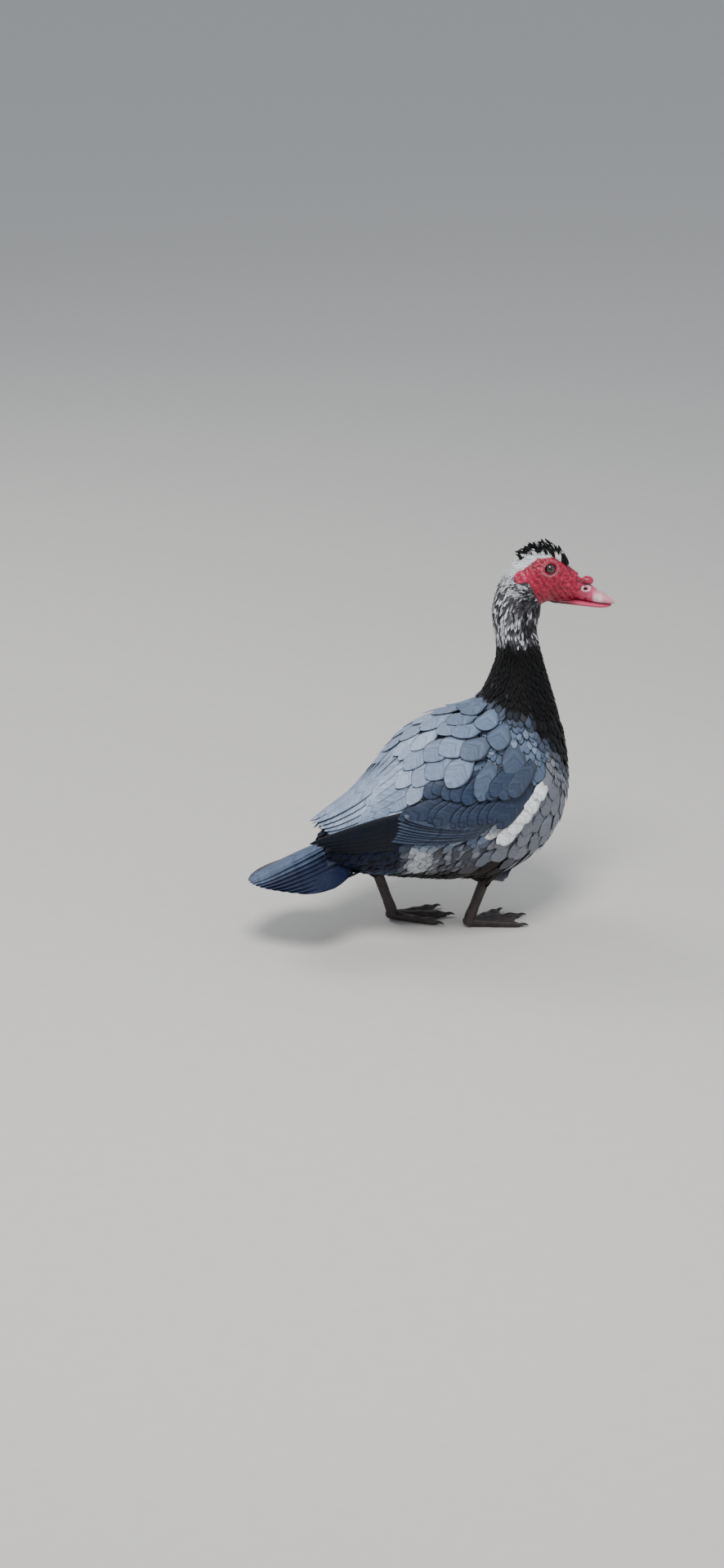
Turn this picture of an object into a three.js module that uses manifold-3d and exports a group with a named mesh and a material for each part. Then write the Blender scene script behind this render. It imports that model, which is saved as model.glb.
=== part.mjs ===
// A Muscovy drake, life size, caught in mid stride with its head turned a little to its right.
// Millimetres. +X is the way the body faces, +Y is the bird's left, +Z is up, and the soles stand at Z = 0.
import * as THREE from "three";
import { mergeVertices } from "three/addons/utils/BufferGeometryUtils.js";
import Module from "manifold-3d";

const wasm = await Module();
wasm.setup();

// Clearance between neighbouring pieces
const GAP = 0.35;

// Sections of the trunk and neck, from the root of the tail to the top of the neck.
// Each row is the point on the back (x, z), the point on the underside (x, z) and the half width.
const TRUNK = [
  [-172, 146, -168, 104, 34],
  [-150, 161, -142, 95, 46],
  [-118, 181, -112, 89, 64],
  [-78, 226, -75, 82, 86],
  [-36, 268, -30, 73, 98],
  [8, 290, 15, 67, 102],
  [40, 299, 58, 65, 101],
  [54, 307, 104, 78, 96],
  [61, 317, 146, 108, 87],
  [67, 330, 171, 157, 74],
  [73, 347, 174, 219, 59],
  [77, 362, 162, 285, 46],
  [79, 376, 149, 332, 38.5],
  [77, 393, 140, 364, 35],
  [73, 413, 133, 391, 32.5],
  [70, 433, 131, 411, 31],
  [74, 453, 137, 433, 29],
  [82, 472, 141, 452, 24],
];
const TRUNK_RINGS = 36;
const TRUNK_SIDES = 24;
const FULLNESS = 2.25;

// Where the neck leaves the trunk and where the head leaves the neck
const NECK_CUT = { at: [116, 0, 318], turn: 0.62 };
const HEAD_CUT = { at: [103, 0, 446], turn: 0.35 };

// The head's own frame: p forwards, l to its left, z up, turned to the right about the neck
const HEAD_AT = [108, 0];
const HEAD_YAW = THREE.MathUtils.degToRad(-20);
// Each row is p, the crown's z, the jaw's z and the half width
const HEAD = [
  [-31, 462, 444, 8],
  [-25, 475, 436, 19],
  [-13, 493, 431, 26],
  [2, 508, 432, 29.5],
  [17, 516, 438, 30],
  [32, 517, 444, 28],
  [46, 511, 447, 24],
  [58, 500, 448, 20],
  [68, 490, 448, 17],
  [76, 484, 449, 15],
];
// Bill rows: p, the culmen's z, the edge's z and the half width
const BILL_UPPER = [
  [52, 486, 452, 13],
  [66, 486, 451, 15],
  [78, 479, 449, 14],
  [92, 469, 446.5, 13.2],
  [106, 459, 444.5, 13.5],
  [117, 453, 443.5, 12.5],
  [123, 449, 443, 9],
  [127, 445.5, 443, 3],
];
const BILL_LOWER = [
  [50, 450.4, 445, 12],
  [66, 449.6, 443, 12.5],
  [90, 446, 440, 11.6],
  [108, 443.6, 438.6, 11.4],
  [118, 442.8, 439.2, 8.5],
  [122, 442.3, 440.4, 3.5],
];
const KNOB = { p: 89, z: 474, radius: 9 };
const EYE = { p: 38, l: 22.5, z: 496, radius: 6.6 };
const LID = { radius: 7, tube: 1.7 };
const NOSTRIL = { p: 87, l: 12.6, z: 466, radius: 3 };
// Bare bulbs of the face on each side: p, l, z and radius
const CARUNCLES = [
  [66, 15, 488, 5],
  [58, 19, 490, 4.2],
  [72, 15, 479, 4.6],
  [54, 20, 481, 4],
  [63, 17.5, 472, 4.2],
];
// Crest locks by rows from front to back: the root's p and z, the tip's p and z, and the half spread
const CREST_ROWS = [
  [57, 498, 63, 517, 6],
  [46, 507, 50, 528, 8],
  [32, 513, 33, 531, 9],
  [18, 514, 12, 529, 9],
  [5, 508, -8, 518, 8],
];
const CREST_LOCKS = 3;
const LOCK_ROWS = [
  [0, 0.9],
  [0.5, 1],
  [1, 0.25],
];

// The folded wing: the layer of feathers over the trunk, and its outline from the side
const WING_DEPTH = 10;
const WING_FRONT_DEPTH = 2;
const WING_OUTLINE = [
  [66, 146],
  [104, 168],
  [124, 215],
  [106, 262],
  [60, 300],
  [46, 330],
  [-60, 340],
  [-140, 240],
  [-128, 180],
  [-112, 158],
  [-80, 148],
  [0, 147],
];
const MIDLINE_GAP = 0.5;
// Scapulars lie in rows over the shoulder. t runs along the trunk, and angles go down from the ridge
const SCAPULARS = {
  rows: 3,
  across: 4,
  first: 0.35,
  pitch: 0.075,
  angle: 0.3,
  spacing: 0.36,
  length: 0.12,
  fall: 0.16,
  halfWidth: 21,
  depth: 2.4,
};
// The ends of the covert and secondary rows as x and z from the side, first feather and last
const GREATER_COVERTS = {
  count: 5,
  roots: [[72, 222], [-34, 214]],
  tips: [[30, 182], [-82, 188]],
  lift: [14.5, 12.5],
  halfWidth: 15,
};
const SECONDARIES = {
  count: 5,
  roots: [[26, 177], [10, 164]],
  tips: [[-92, 186], [-116, 161]],
  lift: [15, 9],
  halfWidth: 9,
};
const ROOT_LIFT = 7;
// Tertials and primaries run back past the trunk to tips at x, y and z. The wings aren't folded alike
const TERTIALS = {
  count: 4,
  from: { t: 0.17, angle: 0.6, spacing: 0.22 },
  tip: { left: [-187, 15, 166], right: [-187, 15, 166] },
  step: [6, 7, -4],
  bow: [0, 4, -8],
  up: [0.15, 0.35, 1],
  halfWidth: 15,
  taper: 1,
};
const PRIMARIES = {
  count: 3,
  from: { t: 0.17, angle: 1.25, spacing: 0.14 },
  tip: { left: [-180, 30, 147], right: [-207, 30, 147] },
  step: [10, 4, -3],
  bow: [0, 5, 2],
  up: [0.1, 1, 0.55],
  halfWidth: 9,
  taper: 0,
};
const VANE_DEPTH = 1.3;
const VANE_CAMBER = 0.1;

// The tail: its fleshy root, the fan, and the coverts over and under it.
// y is for one feather's step to the side, and fall is how much lower each step lies
const TAIL_CUT_X = -138;
const TAIL_FAN = {
  perSide: 6,
  root: { x: -146, y: 6, z: 145, fall: 6.3 },
  tip: { x: -278, y: 8.6, z: 94, fall: 0.6, draw: 1.5 },
  leftOverRight: 0.9,
  halfWidth: 14,
};
const TAIL_COVERTS = {
  count: 5,
  spacing: 17,
  halfWidth: 14,
  upper: { root: [-128, 160], tip: [-188, 138], rise: 155, depth: 2 },
  under: { root: [-140, 104], tip: [-222, 97], rise: 94, depth: 3 },
};

// Legs: the ankle, the joint above the toes, and the way the foot points
const LEGS = {
  right: { ankle: [50, -38, 74], toes: [28, -33, 12], heading: 4 },
  left: { ankle: [-84, 34, 78], toes: [-62, 27, 12], heading: -13 },
};
const SHANK_RADIUS = { toes: 5.2, ankle: 5.6 };
const THIGH_RADIUS = { hock: 8.5, hip: 30 };
const HIP_Z = 130;
const TOES = [
  { turn: 26, length: 64, radius: 4.6 },
  { turn: 0, length: 76, radius: 5 },
  { turn: -26, length: 70, radius: 4.6 },
];
const CLAW = 7;
const HIND_TOE = 17;
const KNUCKLE = { radius: 7.5, z: 6.5 };
// The webs' thickness, how far they go back past the joint, and their reach as shares of the toes
const WEB = { depth: 2, heel: 5, reach: 0.9, scallop: 0.72 };

function along(rows, t) {
  const s = THREE.MathUtils.clamp(t, 0, 1) * (rows.length - 1);
  const i = Math.min(Math.floor(s), rows.length - 2);
  const f = s - i;
  const row = (k) => rows[THREE.MathUtils.clamp(k, 0, rows.length - 1)];
  return row(i).map((b, c) => {
    const a = row(i - 1)[c];
    const d = row(i + 1)[c];
    const e = row(i + 2)[c];
    const slopeB = (d - a) / 2;
    const slopeD = (e - b) / 2;
    const f2 = f * f;
    const f3 = f2 * f;
    return (
      (2 * f3 - 3 * f2 + 1) * b +
      (f3 - 2 * f2 + f) * slopeB +
      (3 * f2 - 2 * f3) * d +
      (f3 - f2) * slopeD
    );
  });
}

// A closed three.js geometry as a solid to join and cut
function solid(geometry) {
  const bare = geometry.clone();
  bare.deleteAttribute("normal");
  bare.deleteAttribute("uv");
  const merged = mergeVertices(bare, 1e-4);
  return new wasm.Manifold(
    new wasm.Mesh({
      numProp: 3,
      vertProperties: new Float32Array(merged.attributes.position.array),
      triVerts: new Uint32Array(merged.index.array),
    }),
  );
}

function geometryFrom(points, faces) {
  const geometry = new THREE.BufferGeometry();
  geometry.setAttribute(
    "position",
    new THREE.Float32BufferAttribute(points.flatMap((p) => [p.x, p.y, p.z]), 3),
  );
  geometry.setIndex(faces.flat());
  return geometry;
}

// A closed body through rings of points: pointAt(t, angle), with t from 0 to 1
function loft(pointAt, rings, sides) {
  const points = [];
  const faces = [];
  for (let i = 0; i <= rings; i++)
    for (let j = 0; j < sides; j++)
      points.push(pointAt(i / rings, (2 * Math.PI * j) / sides));
  for (let i = 0; i < rings; i++)
    for (let j = 0; j < sides; j++) {
      const a = i * sides + j;
      const b = i * sides + ((j + 1) % sides);
      faces.push([a, b, a + sides], [b, b + sides, a + sides]);
    }
  for (const end of [0, rings]) {
    const centre = new THREE.Vector3();
    for (let j = 0; j < sides; j++) centre.add(points[end * sides + j]);
    points.push(centre.divideScalar(sides));
    const c = points.length - 1;
    for (let j = 0; j < sides; j++) {
      const a = end * sides + j;
      const b = end * sides + ((j + 1) % sides);
      faces.push(end ? [a, b, c] : [b, a, c]);
    }
  }
  const made = solid(geometryFrom(points, faces));
  return made.volume() > 0 ? made : solid(geometryFrom(points, faces.map((f) => [f[0], f[2], f[1]])));
}

// A thin plate between two grids of points, with both faces split alike
function sheet(top, bottom) {
  const rows = top.length;
  const cols = top[0].length;
  const points = [...top.flat(), ...bottom.flat()];
  const at = (face, i, j) => (face * rows + i) * cols + j;
  const faces = [];
  const quad = (a, b, c, d) => faces.push([a, b, c], [a, c, d]);
  for (let i = 0; i + 1 < rows; i++)
    for (let j = 0; j + 1 < cols; j++) {
      quad(at(0, i, j), at(0, i, j + 1), at(0, i + 1, j + 1), at(0, i + 1, j));
      faces.push([at(1, i, j), at(1, i + 1, j + 1), at(1, i, j + 1)]);
      faces.push([at(1, i, j), at(1, i + 1, j), at(1, i + 1, j + 1)]);
    }
  for (let i = 0; i + 1 < rows; i++) {
    quad(at(0, i + 1, 0), at(1, i + 1, 0), at(1, i, 0), at(0, i, 0));
    quad(at(0, i, cols - 1), at(1, i, cols - 1), at(1, i + 1, cols - 1), at(0, i + 1, cols - 1));
  }
  for (let j = 0; j + 1 < cols; j++) {
    quad(at(0, 0, j), at(1, 0, j), at(1, 0, j + 1), at(0, 0, j + 1));
    quad(at(0, rows - 1, j + 1), at(1, rows - 1, j + 1), at(1, rows - 1, j), at(0, rows - 1, j));
  }
  const made = solid(geometryFrom(points, faces));
  return made.volume() > 0 ? made : solid(geometryFrom(points, faces.map((f) => [f[0], f[2], f[1]])));
}

// How far along a feather each row of points lies, and how wide it is there
const VANE_ROWS = [
  [0, 0.6],
  [0.4, 0.95],
  [0.8, 0.9],
  [1, 0.3],
];
const SHORT_ROWS = [
  [0, 0.7],
  [0.7, 1],
  [1, 0.4],
];

// A feather along a curve. up(f) is its outward direction, and camber bends its edges inwards
function vane(curve, up, halfWidth, depth = VANE_DEPTH, camber = VANE_CAMBER, rows = VANE_ROWS) {
  const top = [];
  const bottom = [];
  for (const [f, share] of rows) {
    const centre = curve.getPoint(f);
    const out = up(f).normalize();
    const across = new THREE.Vector3().crossVectors(curve.getTangent(f), out).normalize();
    const line = [-1, 0, 1].map((u) =>
      centre
        .clone()
        .addScaledVector(across, u * share * halfWidth)
        .addScaledVector(out, -Math.abs(u) * share * halfWidth * camber),
    );
    top.push(line);
    bottom.push(line.map((point) => point.clone().addScaledVector(out, -depth)));
  }
  return sheet(top, bottom);
}

const bend = (a, b, c) => new THREE.QuadraticBezierCurve3(a, b, c);
const lerp = THREE.MathUtils.lerp;

function union(pieces) {
  return pieces.reduce((whole, piece) => whole.add(piece));
}

// The largest closed surface of a solid
function largest(made) {
  return made.decompose().reduce((a, b) => (b.volume() > a.volume() ? b : a));
}

// The half of a solid on the side of the plane that the normal points to
function half(made, at, normal) {
  const size = 1500;
  const box = new THREE.BoxGeometry(size, size, size);
  const n = new THREE.Vector3(...normal).normalize();
  box.applyQuaternion(new THREE.Quaternion().setFromUnitVectors(new THREE.Vector3(0, 0, 1), n));
  const centre = new THREE.Vector3(...at).addScaledVector(n, size / 2);
  box.translate(centre.x, centre.y, centre.z);
  return made.intersect(solid(box));
}

function trunkPoint(t, angle, grow = 0) {
  const [dx, dz, vx, vz, width] = along(TRUNK, t);
  const across = Math.sin(angle);
  const upright = Math.cos(angle);
  const k = (Math.abs(across) ** FULLNESS + Math.abs(upright) ** FULLNESS) ** (-1 / FULLNESS);
  const centre = new THREE.Vector3((dx + vx) / 2, 0, (dz + vz) / 2);
  const spoke = new THREE.Vector3((dx - vx) / 2, 0, (dz - vz) / 2);
  spoke.setLength(spoke.length() + grow);
  return centre
    .addScaledVector(spoke, upright * k)
    .add(new THREE.Vector3(0, (width + grow) * across * k, 0));
}

function trunk(growAt = () => 0) {
  return loft((t, angle) => trunkPoint(t, angle, growAt(t)), TRUNK_RINGS, TRUNK_SIDES);
}

// The wing's feathers thin out towards the shoulder
function wingDepth(t) {
  const fade = THREE.MathUtils.smoothstep(t, 0.26, 0.46);
  return lerp(WING_DEPTH, WING_FRONT_DEPTH, fade);
}

function headPoint(p, l, z) {
  const forward = new THREE.Vector3(Math.cos(HEAD_YAW), Math.sin(HEAD_YAW), 0);
  const left = new THREE.Vector3(-Math.sin(HEAD_YAW), Math.cos(HEAD_YAW), 0);
  return new THREE.Vector3(HEAD_AT[0], HEAD_AT[1], z)
    .addScaledVector(forward, p)
    .addScaledVector(left, l);
}

// A body along the head's own axis from rows of p, top, bottom and half width
function headLoft(rows, rings, sides, fullness, grow = 0) {
  return loft(
    (t, angle) => {
      const [p, top, bottom, width] = along(rows, t);
      const across = Math.sin(angle);
      const upright = Math.cos(angle);
      const k = (Math.abs(across) ** fullness + Math.abs(upright) ** fullness) ** (-1 / fullness);
      const middle = (top + bottom) / 2;
      return headPoint(
        p + (t - 0.5) * 2 * grow,
        (width + grow) * across * k,
        middle + ((top - bottom) / 2 + grow) * upright * k,
      );
    },
    rings,
    sides,
  );
}

function ballInHead(p, l, z, radius, detail = 2, stretch = [1, 1, 1]) {
  const ball = new THREE.IcosahedronGeometry(radius, detail);
  ball.scale(...stretch);
  ball.rotateZ(HEAD_YAW);
  const at = headPoint(p, l, z);
  ball.translate(at.x, at.y, at.z);
  return solid(ball);
}

const cutNormal = (cut) => [Math.sin(cut.turn), 0, Math.cos(cut.turn)];
const behind = (normal) => normal.map((n) => -n);
const shifted = (at, normal, distance) => at.map((v, i) => v + distance * normal[i]);
const whole = trunk();
const clear = trunk(() => GAP);

function torso() {
  let made = half(whole, NECK_CUT.at, behind(cutNormal(NECK_CUT)));
  made = half(made, [TAIL_CUT_X + GAP / 2, 0, 0], [1, 0, 0]);
  return largest(made);
}

function neck() {
  const low = cutNormal(NECK_CUT);
  const high = cutNormal(HEAD_CUT);
  const foot = half(whole, shifted(NECK_CUT.at, low, GAP), low);
  return largest(half(foot, shifted(HEAD_CUT.at, high, -GAP), behind(high)));
}

function crest() {
  const core = [
    [-6, 506, 494, 6],
    [8, 517, 500, 10],
    [26, 521, 505, 12],
    [44, 518, 500, 11],
    [57, 508, 490, 8],
    [62, 500, 488, 5],
  ];
  const locks = CREST_ROWS.flatMap(([p0, z0, p1, z1, spread], row) =>
    [...Array(CREST_LOCKS).keys()].map((i) => {
      const l = spread * (i - (CREST_LOCKS - 1) / 2) + (row % 2 ? 1.2 : -1.2);
      const root = headPoint(p0, l * 0.8, z0 - 4);
      const middle = headPoint(lerp(p0, p1, 0.35) + 2, l * 1.05, lerp(z0, z1, 0.6));
      const tip = headPoint(p1, l * 1.15, z1 - Math.abs(l) * 0.35);
      const aside = headPoint(0, l < 0 ? -1 : 1, 0).sub(headPoint(0, 0, 0));
      return vane(bend(root, middle, tip), () => aside.clone(), 8.5, 2, 0, LOCK_ROWS);
    }),
  );
  return union([headLoft(core, 7, 10, 2), ...locks]);
}

function lid(side) {
  const ring = new THREE.TorusGeometry(LID.radius, LID.tube, 5, 12);
  ring.rotateX(Math.PI / 2);
  ring.scale(1.12, 1, 0.92);
  ring.rotateZ(HEAD_YAW);
  const at = headPoint(EYE.p, side * (EYE.l + 1.5), EYE.z);
  ring.translate(at.x, at.y, at.z);
  return solid(ring);
}

function head(bill) {
  let made = union([headLoft(HEAD, 14, 20, 2.1), whole, crest()]);
  for (const side of [-1, 1]) {
    made = made.add(lid(side));
    for (const [p, l, z, radius] of CARUNCLES)
      made = made.add(ballInHead(p, side * l, z, radius, 1, [1.2, 0.8, 1]));
  }
  made = half(made, HEAD_CUT.at, cutNormal(HEAD_CUT));
  for (const side of [-1, 1])
    made = made.subtract(ballInHead(EYE.p, side * EYE.l, EYE.z, EYE.radius + GAP));
  return largest(made.subtract(bill));
}

function eye(side) {
  return ballInHead(EYE.p, side * EYE.l, EYE.z, EYE.radius, 1);
}

function wing(side) {
  const outline = new THREE.Shape();
  const last = WING_OUTLINE[WING_OUTLINE.length - 1];
  outline.moveTo(...last);
  outline.splineThru(WING_OUTLINE.map((p) => new THREE.Vector2(...p)));
  const depth = 200;
  const plate = new THREE.ExtrudeGeometry(outline, { depth, bevelEnabled: false, curveSegments: 3 });
  plate.rotateX(Math.PI / 2);
  plate.translate(0, side > 0 ? depth + MIDLINE_GAP : -MIDLINE_GAP, 0);
  const layer = trunk(wingDepth).intersect(solid(plate));
  return largest(union([layer, ...wingVanes(side)]).subtract(clear));
}

// A point over the trunk on one side, and the way out from the surface there
const over = (t, angle, grow, side) => trunkPoint(t, side * angle, grow);
function outAt(t, angle, side) {
  return over(t, angle, 10, side).sub(over(t, angle, 0, side));
}

// The place on the trunk, as t and angle, that is seen at x and z from the side
function seenAt(x, z) {
  let best = [0.25, 1.2];
  const miss = ([t, angle]) => {
    const point = trunkPoint(t, angle, WING_DEPTH);
    return Math.hypot(point.x - x, point.z - z);
  };
  for (let step = 0.2; step > 1e-3; step *= 0.6)
    for (let round = 0; round < 8; round++) {
      const near = [[step, 0], [-step, 0], [0, 3 * step], [0, -3 * step]];
      const tried = near.map(([a, b]) => [best[0] + a, THREE.MathUtils.clamp(best[1] + b, 0.1, 2.4)]);
      best = [best, ...tried].reduce((a, b) => (miss(b) < miss(a) ? b : a));
    }
  return best;
}

// A feather that lies on the wing between two places seen from the side
function lying(from, to, halfWidth, grow0, grow1, side, rows) {
  const a = seenAt(...from);
  const b = seenAt(...to);
  const at = (f) => [lerp(a[0], b[0], f), lerp(a[1], b[1], f)];
  const point = (f) => over(...at(f), lerp(grow0, grow1, f), side);
  const curve = new THREE.CatmullRomCurve3([0, 0.33, 0.67, 1].map(point));
  return vane(curve, (f) => outAt(...at(f), side), halfWidth, VANE_DEPTH, VANE_CAMBER, rows);
}

// Rows of two or more feathers, each a share f of the way from the row's first to its last
function shares(count) {
  return [...Array(count).keys()].map((k) => k / (count - 1));
}

const between = ([a, b], f) => a.map((v, i) => lerp(v, b[i], f));

function scapular(row, i, side) {
  const t = SCAPULARS.first - SCAPULARS.pitch * row;
  const angle = SCAPULARS.angle + SCAPULARS.spacing * (i + (row % 2) * 0.5);
  const at = (f) => [t - SCAPULARS.length * f, angle + SCAPULARS.fall * f];
  const grow = (f) => lerp(wingDepth(t) - 3, wingDepth(at(f)[0]) + 2.6, f);
  const points = [0, 0.33, 0.67, 1].map((f) => over(...at(f), grow(f), side));
  const curve = new THREE.CatmullRomCurve3(points);
  const up = (f) => outAt(...at(f), side);
  return vane(curve, up, SCAPULARS.halfWidth, SCAPULARS.depth, VANE_CAMBER, SHORT_ROWS);
}

// Feathers from the wing's side to tips in the air behind it
function trailing(kind, side) {
  const tip = side > 0 ? kind.tip.left : kind.tip.right;
  return [...Array(kind.count).keys()].map((k) => {
    const root = over(kind.from.t, kind.from.angle + kind.from.spacing * k, 5, side);
    const [x, y, z] = tip.map((v, i) => v + kind.step[i] * k);
    const end = new THREE.Vector3(x, side * y, z);
    const [bx, by, bz] = kind.bow;
    const middle = root.clone().lerp(end, 0.5).add(new THREE.Vector3(bx, side * by, bz));
    const [ux, uy, uz] = kind.up;
    const out = new THREE.Vector3(ux, side * (uy + kind.taper * kind.from.spacing * k), uz);
    return vane(bend(root, middle, end), () => out.clone(), kind.halfWidth - kind.taper * k);
  });
}

function wingVanes(side) {
  const vanes = [];
  for (let row = 0; row < SCAPULARS.rows; row++)
    for (let i = 0; i < SCAPULARS.across - (row > 0 ? 1 : 0); i++) vanes.push(scapular(row, i, side));
  for (const [kind, rows] of [[GREATER_COVERTS, SHORT_ROWS], [SECONDARIES, VANE_ROWS]])
    for (const f of shares(kind.count)) {
      const root = between(kind.roots, f);
      const tip = between(kind.tips, f);
      vanes.push(lying(root, tip, kind.halfWidth, ROOT_LIFT, lerp(...kind.lift, f), side, rows));
    }
  return [...vanes, ...trailing(TERTIALS, side), ...trailing(PRIMARIES, side)];
}

function tailFeather(k, side) {
  const { root, tip, leftOverRight, halfWidth } = TAIL_FAN;
  const y = side * (k + 0.5);
  const from = new THREE.Vector3(root.x, y * root.y, root.z - root.fall * k);
  const over = side > 0 ? leftOverRight : 0;
  const to = new THREE.Vector3(tip.x + tip.draw * k * k, y * tip.y, tip.z - tip.fall * k + over);
  const middle = from.clone().lerp(to, 0.5).add(new THREE.Vector3(0, y * 2, 2));
  const out = (f) => new THREE.Vector3(0.4, y * 0.16 * (1 - f), 1);
  return vane(bend(from, middle, to), out, halfWidth);
}

// A covert of the tail: facing is 1 over the fan and -1 under it
function tailCovert(kind, y, facing) {
  const aside = Math.abs(y);
  const [rootFall, tipFall, spread] = facing > 0 ? [-0.35, -0.62, 1] : [0.1, -0.12, 1.25];
  const root = new THREE.Vector3(kind.root[0], y, kind.root[1] + aside * rootFall);
  const tip = new THREE.Vector3(kind.tip[0] + aside * 0.4, y * spread, kind.tip[1] + aside * tipFall);
  const middle = root.clone().lerp(tip, 0.5).setZ(kind.rise - (facing > 0 ? aside * 0.4 : 0));
  const out = () => new THREE.Vector3(facing > 0 ? 0.5 : 0, y * 0.02, facing);
  return vane(bend(root, middle, tip), out, TAIL_COVERTS.halfWidth, kind.depth, VANE_CAMBER, SHORT_ROWS);
}

function tail() {
  const pieces = [half(whole, [TAIL_CUT_X - GAP / 2, 0, 0], [-1, 0, 0])];
  for (const side of [-1, 1])
    for (let k = 0; k < TAIL_FAN.perSide; k++) pieces.push(tailFeather(k, side));
  for (let k = 0; k < TAIL_COVERTS.count; k++) {
    const y = TAIL_COVERTS.spacing * (k - (TAIL_COVERTS.count - 1) / 2);
    pieces.push(tailCovert(TAIL_COVERTS.upper, y, 1));
    pieces.push(tailCovert(TAIL_COVERTS.under, y, -1));
  }
  return largest(half(union(pieces), [TAIL_CUT_X - GAP / 2, 0, 0], [-1, 0, 0]));
}

function tapered(from, to, r0, r1, sides = 8) {
  const a = new THREE.Vector3(...from);
  const b = new THREE.Vector3(...to);
  const axis = b.clone().sub(a);
  const rod = new THREE.CylinderGeometry(r1, r0, axis.length(), sides);
  rod.translate(0, axis.length() / 2, 0);
  rod.applyQuaternion(
    new THREE.Quaternion().setFromUnitVectors(new THREE.Vector3(0, 1, 0), axis.normalize()),
  );
  rod.translate(a.x, a.y, a.z);
  return solid(rod);
}

function foot(leg) {
  const heading = THREE.MathUtils.degToRad(leg.heading);
  const place = (distance, turn) => {
    const angle = heading + THREE.MathUtils.degToRad(turn);
    return [leg.toes[0] + distance * Math.cos(angle), leg.toes[1] + distance * Math.sin(angle)];
  };
  const outline = new THREE.Shape();
  outline.moveTo(...place(-WEB.heel, 0));
  TOES.toReversed().forEach((toe, i) => {
    const end = place(toe.length * WEB.reach, toe.turn);
    if (i) outline.quadraticCurveTo(...place(toe.length * WEB.scallop, toe.turn - 13), ...end);
    else outline.lineTo(...end);
  });
  outline.closePath();
  const plate = { depth: WEB.depth, bevelEnabled: false, curveSegments: 5 };
  const web = new THREE.ExtrudeGeometry(outline, plate);
  const toes = TOES.map(({ turn, length, radius }) =>
    tapered([...place(0, turn), radius * 0.8], [...place(length, turn), 1.2], radius, 2),
  );
  const claws = TOES.map(({ turn, length }) =>
    tapered([...place(length - 3, turn), 2.6], [...place(length + CLAW, turn), 1], 2.2, 0.5, 6),
  );
  const heel = tapered([leg.toes[0], leg.toes[1], 6], [...place(-HIND_TOE, 8), 3.5], 4, 1.8);
  const knuckle = new THREE.IcosahedronGeometry(KNUCKLE.radius, 1);
  knuckle.translate(leg.toes[0], leg.toes[1], KNUCKLE.z);
  return union([solid(web), ...toes, ...claws, heel, solid(knuckle)]);
}

function legParts(leg) {
  const axis = leg.ankle.map((v, i) => v - leg.toes[i]);
  const unit = axis.map((v) => v / Math.hypot(...axis));
  const bottom = shifted(leg.toes, unit, 5);
  const hip = [leg.ankle[0] + 6, leg.ankle[1] * 1.3, HIP_Z];
  const hock = leg.ankle.map((v, i) => v - axis[i] * 0.2);
  const rod = tapered(leg.toes, leg.ankle, SHANK_RADIUS.toes, SHANK_RADIUS.ankle);
  const drum = (grow) =>
    tapered(shifted(hock, unit, -grow), hip, THIGH_RADIUS.hock + grow, THIGH_RADIUS.hip + grow);
  const toes = foot(leg);
  const shank = half(rod, shifted(bottom, unit, GAP), unit);
  return {
    foot: half(toes.add(half(rod, bottom, behind(unit))), [0, 0, 0], [0, 0, 1]),
    shank: largest(shank.subtract(clear).subtract(drum(GAP)).subtract(toes)),
    thigh: largest(drum(0).subtract(clear)),
  };
}

function mesh(name, made, finish) {
  const { vertProperties, triVerts, numProp } = made.getMesh();
  const positions = [];
  for (let i = 0; i < vertProperties.length; i += numProp)
    positions.push(vertProperties[i], vertProperties[i + 1], vertProperties[i + 2]);
  const geometry = new THREE.BufferGeometry();
  geometry.setAttribute("position", new THREE.Float32BufferAttribute(positions, 3));
  geometry.setIndex([...triVerts]);
  geometry.computeVertexNormals();
  const shown = new THREE.Mesh(geometry, finish);
  shown.name = name;
  return shown;
}

const finish = (color, roughness, metalness = 0) =>
  new THREE.MeshStandardMaterial({ color, roughness, metalness });
const slate = finish(0x76808f, 0.7);
const dark = finish(0x1c1b1f, 0.6);
const navy = finish(0x3a4254, 0.55);
const red = finish(0xb01e2c, 0.5);
const horn = finish(0xd9777c, 0.4);
const skin = finish(0x3d3532, 0.6);
const wet = finish(0x1a0f0a, 0.08);

const knob = (grow) => ballInHead(KNOB.p, 0, KNOB.z, KNOB.radius + grow, 2, [1.05, 1.1, 0.85]);
const billUpper = headLoft(BILL_UPPER, 14, 16, 2.3).add(knob(0));
const billClear = headLoft(BILL_UPPER, 14, 16, 2.3, GAP).add(knob(GAP));
const nostrils = [-1, 1].map((side) =>
  ballInHead(NOSTRIL.p, side * NOSTRIL.l, NOSTRIL.z, NOSTRIL.radius, 1, [1.5, 0.8, 0.8]),
);
const billLower = headLoft(BILL_LOWER, 10, 12, 2.3);
const lowerClear = headLoft(BILL_LOWER, 10, 12, 2.3, GAP);
const legs = { left: legParts(LEGS.left), right: legParts(LEGS.right) };

const bird = new THREE.Group();
bird.add(mesh("torso", torso(), slate));
bird.add(mesh("neck", neck(), dark));
bird.add(mesh("head", head(billClear.add(lowerClear)), red));
bird.add(mesh("bill_upper", largest(billUpper.subtract(union(nostrils))), horn));
bird.add(mesh("bill_lower", largest(billLower.subtract(billClear)), horn));
bird.add(mesh("tail", tail(), navy));
for (const [name, side] of [["left", 1], ["right", -1]]) {
  bird.add(mesh(`eye_${name}`, eye(side), wet));
  bird.add(mesh(`wing_${name}`, wing(side), slate));
  bird.add(mesh(`thigh_${name}`, legs[name].thigh, dark));
  bird.add(mesh(`shank_${name}`, legs[name].shank, skin));
  bird.add(mesh(`foot_${name}`, legs[name].foot, skin));
}

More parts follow.
